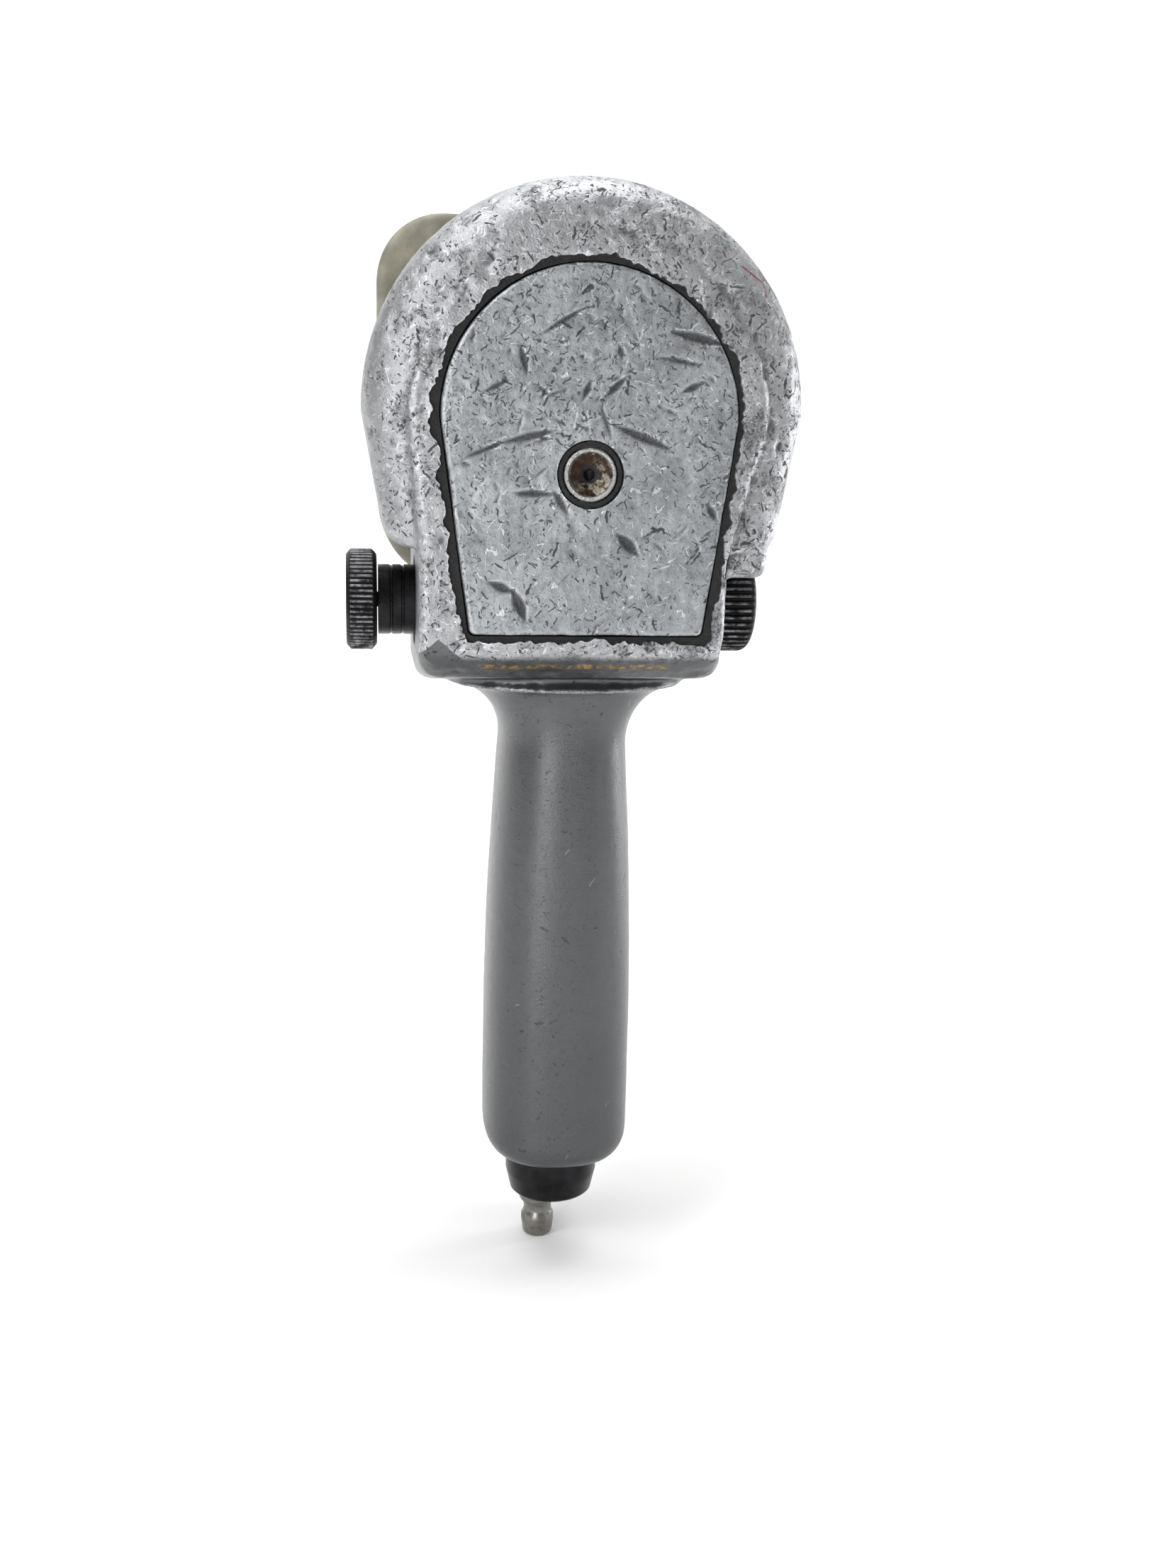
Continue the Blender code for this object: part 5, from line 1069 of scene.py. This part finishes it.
def build_hammer_case():
    start, flange_end = CASE_LOW.y, CASE_LOW.y + CASE_FLANGE_LENGTH
    rings = []
    for y, inset in ((0, 1), (0.4, 0.3), (1.2, 0), (9.0, 0), (10.2, 0.5), (11, 1.8)):
        rings.append(across(case_outline(inset * MM), start + y * MM))
    flange = loft("flange_form", rings)
    end, nose = CASE_HIGH.y, CASE_NOSE_RADIUS
    body_end = CAGE_HIGH.y + 3 * MM
    body_radius = CASE_BODY_RADIUS
    profile = [(0, end), (nose - 1 * MM, end), (nose, end - 1 * MM), (nose + 0.5 * MM, end - 9 * MM)]
    for angle in range(5, 95, 5):
        turn = math.radians(angle)
        radius = nose + 1 * MM + (body_radius - nose - 1 * MM) * math.sin(turn)
        profile.append((radius, body_end + 10 * MM * math.cos(turn)))
    profile += [(body_radius, flange_end + 3 * MM), (body_radius + 1.5 * MM, flange_end - 1 * MM)]
    profile += [(body_radius + 1.5 * MM, start + 3 * MM), (0, start + 3 * MM)]
    body = turned("body_form", profile, steps=120)
    ribs = []
    for number in range(4):
        angle = math.pi / 2 * number
        rib = []
        for y, reach in ((-3, 39), (0, 38), (8, 35.2), (20, 34)):
            corners = [(-2.6, 30), (2.6, 30), (2.2, reach), (-2.2, reach)]
            turned_corners = [
                (
                    (x * math.cos(angle) + z * math.sin(angle)) * MM,
                    flange_end + y * MM,
                    (z * math.cos(angle) - x * math.sin(angle)) * MM,
                )
                for x, z in corners
            ]
            rib.append(turned_corners)
        ribs.append(loft(f"rib_{number}", rib))
    case = merge("hammer_case_casting", [flange, body, *ribs])
    remesh(case, 0.9 * MM, 6)
    places, _ = vertex_arrays(case.data)
    move_in(case, (waviness(places, 0.1, 31.0) * 0.1 + waviness(places, 0.8, 17.0) * 0.03) * MM)
    bush_radius = BUSH_HIGH.x + SKIN_GAP
    cavity_radius = CAGE_HIGH.x + 0.6 * MM
    cavity = turned(
        "cavity_cutter",
        [
            (0, end + 5 * MM),
            (bush_radius, end + 5 * MM),
            (bush_radius, CAGE_HIGH.y + 1.5 * MM),
            (cavity_radius, CAGE_HIGH.y + 1.5 * MM),
            (cavity_radius, start - 5 * MM),
            (0, start - 5 * MM),
        ],
        steps=96,
    )
    cutters = [cavity]
    for number in range(1, 5):
        low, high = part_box(f"case_bolt_{number}")
        at = ((low.x + high.x) / 2, 0, (low.z + high.z) / 2)
        hole_end = flange_end + 3 * MM
        cutters.append(rod(f"case_hole_{number}", BOLT_HOLE_RADIUS, start - 3 * MM, hole_end, at=at))
        cutters.append(rod(f"spot_{number}", 4.8 * MM, flange_end - 2 * MM, flange_end + 14 * MM, at=at))
    cut(case, *cutters)
    fit_out(case, "housing", "olive_casting", olive_finish(), "hammer_case", angle=50)


STROKES = (
    ((-25.0, -9.5), (-17.0, -6.2), 0.9, 0.3),
    ((-17.0, -6.2), (-7.0, -3.8), 1.2, 0.45),
    ((4.5, -2.6), (15.5, -6.8), 1.3, 0.55),
    ((15.1, 15.2), (25.3, 13.2), 1.3, 0.65),
    ((-14.1, 11.9), (-12.7, 6.6), 1.0, 0.55),
    ((4.9, 12.4), (5.6, 10.1), 1.0, 0.5),
    ((17.5, 4.0), (21.9, 6.0), 1.1, 0.5),
    ((2.5, 2.7), (6.6, 6.6), 1.1, 0.5),
    ((-1.9, 2.0), (-0.2, 6.0), 1.0, 0.45),
    ((1.5, 1.3), (3.9, -4.9), 0.8, 0.35),
    ((23.2, -17.1), (25.3, -20.4), 1.1, 0.55),
    ((-14.8, -15.8), (-7.3, -15.8), 1.1, 0.5),
    ((-7.3, -15.1), (-4.2, -19.8), 1.1, 0.5),
    ((5.6, -23.4), (9.7, -27.3), 1.6, 0.75),
    ((-19.5, -33.0), (-14.8, -34.9), 1.3, 0.65),
    ((-14.8, -34.6), (-12.4, -40.2), 1.6, 0.8),
    ((-10.0, 14.0), (-2.0, 19.0), 0.9, 0.4),
    ((12.0, 10.5), (22.0, 9.0), 0.9, 0.35),
    ((-21.0, 3.0), (-16.0, 5.5), 0.9, 0.35),
)


def cover_marks():
    """The large scratches and gouges of the cover, and small ones spread over it."""
    chance = random.Random(sizes().seed + 1)
    marks = []
    for start, end, width, depth in STROKES:
        ends = [np.array((x * MM, 0, z * MM)) for x, z in (start, end)]
        marks.append((gouge_depth, (*ends, width * MM, depth * MM)))
    for _ in range(110):
        x, z = chance.uniform(-27, 27), chance.triangular(-42, 26, 16)
        angle = chance.choice((0.6, 0.9, 2.3)) + chance.uniform(-0.5, 0.5)
        length = chance.uniform(0.8, 3.6)
        ends = np.array((x, 0, z)), np.array((x + length * math.cos(angle), 0, z + length * math.sin(angle)))
        width, depth = chance.uniform(0.45, 0.65) * MM, chance.uniform(0.1, 0.3) * MM
        marks.append((gouge_depth, (ends[0] * MM, ends[1] * MM, width, depth)))
    for _ in range(60):
        centre = (chance.uniform(-28, 28) * MM, 0, chance.uniform(-43, 27) * MM)
        reach = chance.uniform(0.7, 2.4) * MM
        marks.append((dent_depth, (centre, reach, reach * chance.uniform(0.04, 0.13))))
    return marks


def build_cover():
    thickness = COVER_HIGH.y
    rings = []
    for y, grow in ((0, -0.6), (0.15, -0.25), (0.5, 0), (thickness / MM - 0.3, 0), (thickness / MM, -0.3)):
        rings.append(across(cover_outline(grow * MM), y * MM))
    cover = loft("cover_plate", rings)
    remesh(cover, 0.36 * MM, 2)
    marks = cover_marks()
    places, _ = vertex_arrays(cover.data)
    depth = waviness(places, 0.09, 2.0) * 0.12 * MM + waviness(places, 0.5, 21.0) * 0.06 * MM
    depth += dents_at(places, marks)
    move_in(cover, np.clip(depth, -0.12 * MM, 0.8 * MM) * (places[:, 1] < 1.5 * MM))
    pocket_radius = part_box("fitting_seal")[1].x + SKIN_GAP
    pocket = rod("pocket_cutter", pocket_radius, -2 * MM, 3 * MM, at=(0, 0, FITTING_Z), steps=72)
    hole = rod("hole_cutter", BOLT_HOLE_RADIUS, -2 * MM, thickness + 2 * MM, at=(0, 0, FITTING_Z))
    cut(cover, pocket, hole)
    keep_marks(cover, marks, 0.04 * MM, flat=True)
    fit_out(cover, "housing", "worn_aluminium", plate_finish(), "rear_cover", angle=45)


def build_gasket():
    """The black seal in the groove, with an uneven outer lip."""
    top = GASKET_LOW.y
    step = GASKET_HIGH.y - 1 * MM
    seal = prism("groove_seal", cover_outline(3.0 * MM), top, GASKET_HIGH.y)
    cut(
        seal,
        prism("step_cutter", cover_outline(0.3 * MM), -1 * MM, step),
        prism("window_cutter", cover_outline(-4 * MM), 0, GASKET_HIGH.y + 2 * MM),
    )
    fit_out(seal, "housing", "black_rubber", rubber_finish(), "rear_gasket")


def build_fitting():
    """The flush grease fitting: bright rim, rusty dish and centre port."""
    head = FITTING_HIGH.x
    low = FITTING_LOW.y
    under, end = 2.7 * MM, FITTING_HIGH.y
    profile = [(0, end), (1.8 * MM, end), (2.5 * MM, end - 0.6 * MM), (2.5 * MM, under), (head, under)]
    profile += [(head, low + 0.45 * MM), (head - 0.12 * MM, low + 0.15 * MM), (head - 0.35 * MM, low)]
    profile += [(head - 0.75 * MM, low + 0.02 * MM), (head - 0.95 * MM, low + 0.2 * MM)]
    profile += [(head - 1.1 * MM, low + 0.55 * MM), (1.9 * MM, low + 1.75 * MM), (1.35 * MM, low + 1.9 * MM)]
    profile += [(1.1 * MM, low + 2.1 * MM), (1.05 * MM, low + 4.2 * MM), (0, low + 4.4 * MM)]
    fitting = turned("flush_grease_fitting", profile, "Y", (0, 0, FITTING_Z), ROUND_STEPS)
    fit_out(fitting, "housing", "steel", rust_finish(FITTING_Z, 1.1 * MM, head - 0.9 * MM), "grease_fitting")


def knurled(name, radius, teeth, tooth_depth, stations, axis_y, axis_z):
    """A wheel on an X axis. Each station is (x, radius limit), and teeth stand up to that limit."""
    rings = []
    per_tooth = 6
    profile = (0.0, 0.15, 0.85, 1.0, 0.85, 0.15)
    for x, limit in stations:
        ring = []
        for i in range(teeth * per_tooth):
            angle = 2 * math.pi * i / (teeth * per_tooth)
            reach = min(radius - tooth_depth * (1 - profile[i % per_tooth]), limit)
            ring.append((x, axis_y + reach * math.cos(angle), axis_z + reach * math.sin(angle)))
        rings.append(ring)
    return loft(name, rings)


def build_knobs():
    s = bpy.context.scene.wrench_knobs
    radius = (KNOB_HIGH.z - KNOB_LOW.z) / 2
    y, z = SPOOL_CENTRE.y, SPOOL_CENTRE.z
    left, right = KNOB_LOW.x, KNOB_HIGH.x
    rounding = [(0, 1.3), (0.15, 0.95), (0.75, 0.3), (1, 0)]
    stations = [(left + along * MM, radius - inset * MM) for along, inset in rounding]
    stations += [(right - along * MM, radius - inset * MM) for along, inset in reversed(rounding)]
    knob = knurled("push_knob_knurled", radius, s.push_teeth, s.tooth_depth, stations, y, z)
    screw_low, screw_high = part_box("knob_screw")
    pocket_radius = (screw_high.z - screw_low.z) / 2 + SKIN_GAP
    pocket = rod("screw_pocket", pocket_radius, left - 1 * MM, left + 2.4 * MM, "X", (0, y, z))
    hole = rod("screw_hole", 1.9 * MM, left - 1 * MM, right + 1 * MM, "X", (0, y, z))
    dish = turned(
        "knob_dish",
        [(0, left + 0.5 * MM), (7.6 * MM, left + 0.5 * MM), (8.2 * MM, left - 1 * MM), (0, left - 1 * MM)],
        "X",
        (0, y, z),
    )
    cut(knob, pocket, hole, dish)
    finish = oxide_finish("knob_oxide", y, z, radius - 0.2 * MM, 0.85)
    fit_out(knob, "spool", "black_steel", finish, "push_knob")
    radius = (DIAL_HIGH.z - DIAL_LOW.z) / 2
    left, right = DIAL_LOW.x, DIAL_HIGH.x
    stations = [(left, radius - 0.9 * MM), (left + 0.5 * MM, radius)]
    for step in range(9):
        angle = math.pi / 2 * step / 8
        stations.append((right - 2.4 * MM * (1 - math.sin(angle)), radius - 2.4 * MM * (1 - math.cos(angle))))
    dial = knurled("regulator_dial", radius, s.dial_teeth, s.tooth_depth * 1.5, stations, y, z)
    stem_hole = rod("stem_hole", 2.7 * MM, left - 1 * MM, left + 4.3 * MM, "X", (0, y, z))
    cut(dial, stem_hole)
    finish = oxide_finish("dial_oxide", y, z, radius - 0.2 * MM, 0.6)
    fit_out(dial, "regulator", "black_steel", finish, "regulator_knob")


def build_spool():
    r, waist = SPOOL_RADIUS, 5.2 * MM
    left, right = SPOOL_LOW.x, SPOOL_HIGH.x
    screw_hole, bore = 1.9 * MM, 3.4 * MM
    profile = [(bore, right), (r - 0.3 * MM, right), (r, right - 0.3 * MM), (r, 6 * MM), (waist, 4 * MM)]
    profile += [(waist, -6 * MM), (r, -8 * MM), (r, -14 * MM)]
    profile += [(waist, -16 * MM), (waist, -24 * MM), (r, -26 * MM)]
    for x in (-35.2 * MM, -37.6 * MM):
        profile += [(r, x), (r - 0.25 * MM, x - 0.2 * MM), (r - 0.25 * MM, x - 0.5 * MM), (r, x - 0.7 * MM)]
    profile += [(r, left), (screw_hole, left), (screw_hole, left + 10 * MM), (bore, left + 12 * MM)]
    y, z = SPOOL_CENTRE.y, SPOOL_CENTRE.z
    spool = turned("cross_shaft", profile, "X", (0, y, z), 96)
    slot = rod("slot_form", 1.8 * MM, 10.6 * MM, 21.8 * MM, "X", (0, y + r, z))
    cut(spool, slot)
    finish = oxide_finish("shaft_oxide", y, z, r + 1 * MM, 0.0, 0.16)
    fit_out(spool, "spool", "black_steel", finish, "reverse_spool")


def build_inlet():
    """The black collar and the steel hose nipple below the handle."""
    top = HANDLE_END_Z - 0.3 * MM
    radius = COLLAR_HIGH.x
    low = COLLAR_LOW.z
    thread = 7.7 * MM
    high = COLLAR_HIGH.z
    profile = [(0, high), (thread - 0.6 * MM, high), (thread, high - 0.6 * MM), (thread, top)]
    profile += [(radius - 0.7 * MM, top), (radius - 0.2 * MM, top - 0.2 * MM), (radius, top - 0.7 * MM)]
    profile += [(radius, low + 5.4 * MM), (radius - 0.25 * MM, low + 4.4 * MM)]
    profile += [(radius - 1.1 * MM, low + 0.6 * MM)]
    profile += [(radius - 1.8 * MM, low), (0, low)]
    collar = turned("inlet_collar_ring", profile, "Z", (0, INLET_Y, 0), 96)
    nipple_x = (NIPPLE_LOW.x + NIPPLE_HIGH.x) / 2
    at = (nipple_x, INLET_Y, 0)
    nipple_top = low - 0.3 * MM
    cut(
        collar,
        rod("nipple_hole", 4.3 * MM, low - 1 * MM, nipple_top + 8 * MM, "Z", at),
        rod("air_hole", 2.9 * MM, low, COLLAR_HIGH.z + 1 * MM, "Z", at),
    )
    finish = oxide_finish("collar_oxide", INLET_Y, 0, 1.0, 0.0, 0.22)
    fit_out(collar, "housing", "black_steel", finish, "inlet_collar")
    shoulder, neck, tip, bore = 4.5 * MM, 3.3 * MM, 3.9 * MM, 1.9 * MM
    end = NIPPLE_LOW.z
    profile = [(4 * MM, NIPPLE_HIGH.z), (4 * MM, nipple_top), (shoulder - 0.3 * MM, nipple_top)]
    for radius, down in (
        (shoulder, 0.4),
        (shoulder, 2.0),
        (shoulder - 0.25 * MM, 2.5),
        (neck + 0.1 * MM, 3.7),
        (neck, 4.1),
        (neck, 5.3),
        (neck + 0.15 * MM, 5.7),
        (tip, 6.7),
        (tip, 7.6),
    ):
        profile.append((radius, nipple_top - down * MM))
    profile += [(tip - 0.3 * MM, end + 0.9 * MM), (tip - 0.5 * MM, end + 0.35 * MM), (tip - 1 * MM, end)]
    profile += [(bore + 0.3 * MM, end), (bore, end + 0.4 * MM), (bore, NIPPLE_HIGH.z)]
    nipple = turned("hose_nipple", profile, "Z", at, 72)
    finish = steel_finish("nipple_steel", (0.24, 0.235, 0.22), 0.2, 0.4)
    fit_out(nipple, "housing", "steel", finish, "air_nipple")


def build_trigger():
    """The finger paddle, hollowed across its front and rounded all over."""
    half = (TRIGGER_HIGH.x - TRIGGER_LOW.x) / 2
    height = TRIGGER_HIGH.z - TRIGGER_LOW.z
    back = TRIGGER_LOW.y
    rings = []
    for step in range(17):
        share = step / 16
        swell = math.sin(math.pi * (0.03 + 0.94 * share))
        z = TRIGGER_LOW.z + height * share
        width = half * (0.7 + 0.3 * swell**0.5)
        thick = 2.5 * MM * (0.5 + 0.5 * swell**0.35)
        middle = back + 4.8 * MM - 2.3 * MM * swell
        ring = []
        for i in range(40):
            angle = 2 * math.pi * i / 40
            c, s = math.cos(angle), math.sin(angle)
            x = width * math.copysign(abs(c) ** 0.75, c)
            ring.append((x, middle + thick * math.copysign(abs(s) ** 0.75, s), z))
        rings.append(ring)
    paddle = loft("trigger_paddle", rings)
    z = (TRIGGER_LOW.z + TRIGGER_HIGH.z) / 2
    cut(paddle, rod("rod_cutter", 2.3 * MM, back - 4 * MM, back + 4.3 * MM, at=(0, 0, z)))
    soft = paddle.modifiers.new("round", "SUBSURF")
    soft.levels = 1
    settle(paddle)
    finish = plain_finish("moulded_black", (0.03, 0.03, 0.031), 0.42, 0.0, 2.2, 0.08)
    fit_out(paddle, "trigger_group", "black_plastic", finish, "trigger")


def build_bolts():
    """Socket head cap screws with knurled heads and hexagon sockets."""
    finish = oxide_finish("bolt_oxide", 0, 0, 100 * MM, 0.0)
    for number in range(1, 5):
        low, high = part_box(f"case_bolt_{number}")
        x, z = (low.x + high.x) / 2, (low.z + high.z) / 2
        radius = (high.x - low.x) / 2
        seat = high.y - 5 * MM
        head = []
        for y, limit in (
            (seat, radius),
            (high.y - 0.5 * MM, radius),
            (high.y - 0.1 * MM, radius - 0.4 * MM),
            (high.y, radius - 0.7 * MM),
        ):
            ring = []
            for i in range(96):
                angle = 2 * math.pi * i / 96
                reach = min(radius - (0.18 * MM if i % 4 < 2 else 0), limit)
                ring.append((x + reach * math.cos(angle), y, z + reach * math.sin(angle)))
            head.append(ring)
        bolt = loft(f"cap_screw_{number}", head)
        socket = rod("hex_cutter", 2.3 * MM, high.y - 2.6 * MM, high.y + 1 * MM, at=(x, 0, z), steps=6)
        cut(bolt, socket)
        shank = rod(f"shank_{number}", 2.5 * MM, low.y, seat + 1 * MM, at=(x, 0, z), steps=32)
        join = bolt.modifiers.new("shank", "BOOLEAN")
        join.operation = "UNION"
        join.solver = "MANIFOLD"
        join.object = shank
        settle(bolt)
        bpy.data.objects.remove(shank)
        fit_out(bolt, "housing", "black_steel", finish, f"case_bolt_{number}")


def finish_inner_pieces():
    """Gives the CAD nodes that stay their finishes."""
    ground = steel_finish("ground_steel", (0.46, 0.46, 0.46), 0.24, 0.15)
    dark = plain_finish("hardened_steel", (0.16, 0.155, 0.15), 0.36, 1.0)
    finishes = {
        ground: (
            "anvil socket_ring cylinder_liner rear_end_plate front_end_plate "
            "rear_bearing front_bearing liner_dowel "
            "valve_sleeve detent_ball detent_spring throttle_spring throttle_valve inlet_screen trigger_rod "
            "regulator_stem rotor hammer_pin_1 hammer_pin_2"
        ),
        dark: "hammer_cage rear_hammer front_hammer",
        plain_finish("sintered_bronze", (0.42, 0.25, 0.1), 0.4, 1.0): "nose_bush trigger_bush throttle_seat",
        rubber_finish(): "fitting_seal nose_seal spool_seal_1 spool_seal_2",
        plain_finish("gasket_fibre", (0.2, 0.16, 0.1), 0.8, 0.0): "case_gasket",
        plain_finish("vane_laminate", (0.24, 0.12, 0.04), 0.5, 0.0): (
            "vane_1 vane_2 vane_3 vane_4 vane_5 vane_6"
        ),
        plain_finish("black_screw", (0.03, 0.03, 0.032), 0.4, 0.8): "knob_screw detent_screw",
    }
    for finish, names in finishes.items():
        for name in names.split():
            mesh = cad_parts[name].data
            mesh.materials.clear()
            mesh.materials.append(finish)


# The stage


def soft_light(name, place, aim, size, power, colour=(1, 1, 1)):
    lamp = bpy.data.lights.new(name, "AREA")
    lamp.shape = "RECTANGLE"
    lamp.size, lamp.size_y = size
    lamp.energy = power
    lamp.color = colour
    piece = bpy.data.objects.new(name, lamp)
    piece.location = place
    piece.rotation_euler = (Vector(aim) - Vector(place)).to_track_quat("-Z", "Y").to_euler()
    bpy.context.scene.collection.objects.link(piece)


def build_stage():
    s = bpy.context.scene.wrench_stage
    floor_z = CAD_BOUNDS[0][2] - 0.05 * MM
    profile = [(-1.6, floor_z), (0.5, floor_z)]
    for angle in np.linspace(0, math.pi / 2, 14)[1:]:
        profile.append((0.5 + 0.5 * math.sin(angle), floor_z + 0.5 - 0.5 * math.cos(angle)))
    profile += [(1.0, floor_z + 2.2)]
    shape = bmesh.new()
    rows = [[shape.verts.new((x, y, z)) for y, z in profile] for x in (-2.2, 2.2)]
    for i in range(len(profile) - 1):
        shape.faces.new((rows[0][i], rows[1][i], rows[1][i + 1], rows[0][i + 1]))
    mesh = bpy.data.meshes.new("backdrop")
    shape.to_mesh(mesh)
    shape.free()
    mesh.shade_smooth()
    backdrop = add_piece("backdrop", mesh)
    paper = bpy.data.materials.new("pale_paper")
    paper.use_nodes = True
    paper.node_tree.nodes["Principled BSDF"].inputs["Base Color"].default_value = (*s.floor, 1)
    paper.node_tree.nodes["Principled BSDF"].inputs["Roughness"].default_value = 0.9
    mesh.materials.append(paper)
    soft_light("key", (-1.0, -0.7, 0.9), (0, 0, -0.05), (0.6, 0.6), 10)
    soft_light("top", (0.1, 0.1, 1.3), (0, 0, 0), (1.0, 0.8), 2.5)
    soft_light("fill", (1.1, -0.7, 0.3), (0, 0, -0.05), (0.4, 1.2), 2)
    soft_light("strip", (-0.42, -0.92, 0.0), (0, 0, -0.12), (0.1, 0.36), 3.2)
    soft_light("rim", (0.8, 0.3, 0.0), (0, 0, -0.08), (0.12, 0.5), 3)
    soft_light("back_paper", (0, 0.1, 1.6), (0, 1.0, 0.2), (1.8, 0.6), 26)
    world = bpy.data.worlds.new("studio")
    world.use_nodes = True
    world.node_tree.nodes["Background"].inputs["Color"].default_value = (1, 1, 1, 1)
    world.node_tree.nodes["Background"].inputs["Strength"].default_value = 0.28
    bpy.context.scene.world = world
    camera = bpy.data.objects.new("camera", bpy.data.cameras.new("camera"))
    camera.data.sensor_fit = "VERTICAL"
    camera.data.sensor_height = 36
    camera.data.lens = s.lens
    camera.data.clip_start = 0.01
    camera.location = s.camera_place
    camera.rotation_mode = "XYZ"
    pitch, roll, yaw = s.camera_turn
    turn = Euler((0, 0, yaw)).to_matrix() @ Euler((pitch, 0, 0)).to_matrix() @ Euler((0, 0, roll)).to_matrix()
    camera.rotation_euler = turn.to_euler()
    bpy.context.scene.collection.objects.link(camera)
    bpy.context.scene.camera = camera
    bpy.context.scene.view_settings.view_transform = "Standard"


# Operators and panel


class WRENCH_OT_casting(bpy.types.Operator):
    """Builds the battered motor casting with its handle"""

    bl_idname = "wrench.casting"
    bl_label = "Motor casting"

    def execute(self, context):
        build_casting()
        return {"FINISHED"}


class WRENCH_OT_hammer_case(bpy.types.Operator):
    """Builds the olive grey hammer case"""

    bl_idname = "wrench.hammer_case"
    bl_label = "Hammer case"

    def execute(self, context):
        build_hammer_case()
        return {"FINISHED"}


class WRENCH_OT_cover(bpy.types.Operator):
    """Builds the dented rear cover"""

    bl_idname = "wrench.cover"
    bl_label = "Rear cover"

    def execute(self, context):
        build_cover()
        return {"FINISHED"}


class WRENCH_OT_gasket(bpy.types.Operator):
    """Builds the seal in the groove round the cover"""

    bl_idname = "wrench.gasket"
    bl_label = "Groove seal"

    def execute(self, context):
        build_gasket()
        return {"FINISHED"}


class WRENCH_OT_fitting(bpy.types.Operator):
    """Builds the flush grease fitting"""

    bl_idname = "wrench.fitting"
    bl_label = "Grease fitting"

    def execute(self, context):
        build_fitting()
        return {"FINISHED"}


class WRENCH_OT_knobs(bpy.types.Operator):
    """Builds the knurled push knob and the regulator dial"""

    bl_idname = "wrench.knobs"
    bl_label = "Knobs"

    def execute(self, context):
        build_knobs()
        return {"FINISHED"}


class WRENCH_OT_spool(bpy.types.Operator):
    """Builds the black cross shaft"""

    bl_idname = "wrench.spool"
    bl_label = "Reversing spool"

    def execute(self, context):
        build_spool()
        return {"FINISHED"}


class WRENCH_OT_inlet(bpy.types.Operator):
    """Builds the collar and the hose nipple"""

    bl_idname = "wrench.inlet"
    bl_label = "Air inlet"

    def execute(self, context):
        build_inlet()
        return {"FINISHED"}


class WRENCH_OT_trigger(bpy.types.Operator):
    """Builds the finger paddle"""

    bl_idname = "wrench.trigger"
    bl_label = "Trigger"

    def execute(self, context):
        build_trigger()
        return {"FINISHED"}


class WRENCH_OT_bolts(bpy.types.Operator):
    """Builds the four cap screws of the hammer case"""

    bl_idname = "wrench.bolts"
    bl_label = "Case bolts"

    def execute(self, context):
        build_bolts()
        return {"FINISHED"}


class WRENCH_OT_inner(bpy.types.Operator):
    """Gives the other pieces their finishes"""

    bl_idname = "wrench.inner"
    bl_label = "Inner pieces"

    def execute(self, context):
        finish_inner_pieces()
        return {"FINISHED"}


class WRENCH_OT_stage(bpy.types.Operator):
    """Builds the floor, the lights and the camera"""

    bl_idname = "wrench.stage"
    bl_label = "Stage"

    def execute(self, context):
        build_stage()
        return {"FINISHED"}


OPERATORS = (
    WRENCH_OT_casting,
    WRENCH_OT_hammer_case,
    WRENCH_OT_cover,
    WRENCH_OT_gasket,
    WRENCH_OT_fitting,
    WRENCH_OT_knobs,
    WRENCH_OT_spool,
    WRENCH_OT_inlet,
    WRENCH_OT_trigger,
    WRENCH_OT_bolts,
    WRENCH_OT_inner,
    WRENCH_OT_stage,
)


class WRENCH_PT_panel(bpy.types.Panel):
    """Lists the sizes and the building steps in the sidebar."""

    bl_label = "Impact wrench"
    bl_idname = "WRENCH_PT_panel"
    bl_space_type = "VIEW_3D"
    bl_region_type = "UI"
    bl_category = "Impact wrench"

    def draw(self, context):
        for group in GROUPS:
            settings = getattr(context.scene, group)
            for name in settings.__annotations__:
                self.layout.prop(settings, name)
        for operator in OPERATORS:
            self.layout.operator(operator.bl_idname)


GROUPS = {
    "wrench_casting": CastingSizes,
    "wrench_knobs": KnobSizes,
    "wrench_colours": Colours,
    "wrench_stage": StageSizes,
}


def register():
    for name, group in GROUPS.items():
        bpy.utils.register_class(group)
        setattr(bpy.types.Scene, name, PointerProperty(type=group))
    for operator in OPERATORS:
        bpy.utils.register_class(operator)
    bpy.utils.register_class(WRENCH_PT_panel)


def unregister():
    bpy.utils.unregister_class(WRENCH_PT_panel)
    for operator in reversed(OPERATORS):
        bpy.utils.unregister_class(operator)
    for name, group in GROUPS.items():
        delattr(bpy.types.Scene, name)
        bpy.utils.unregister_class(group)


def main():
    register()
    for operator in OPERATORS:
        getattr(bpy.ops.wrench, operator.bl_idname.split(".")[1])()
    bpy.context.view_layer.update()


if __name__ == "__main__":
    main()
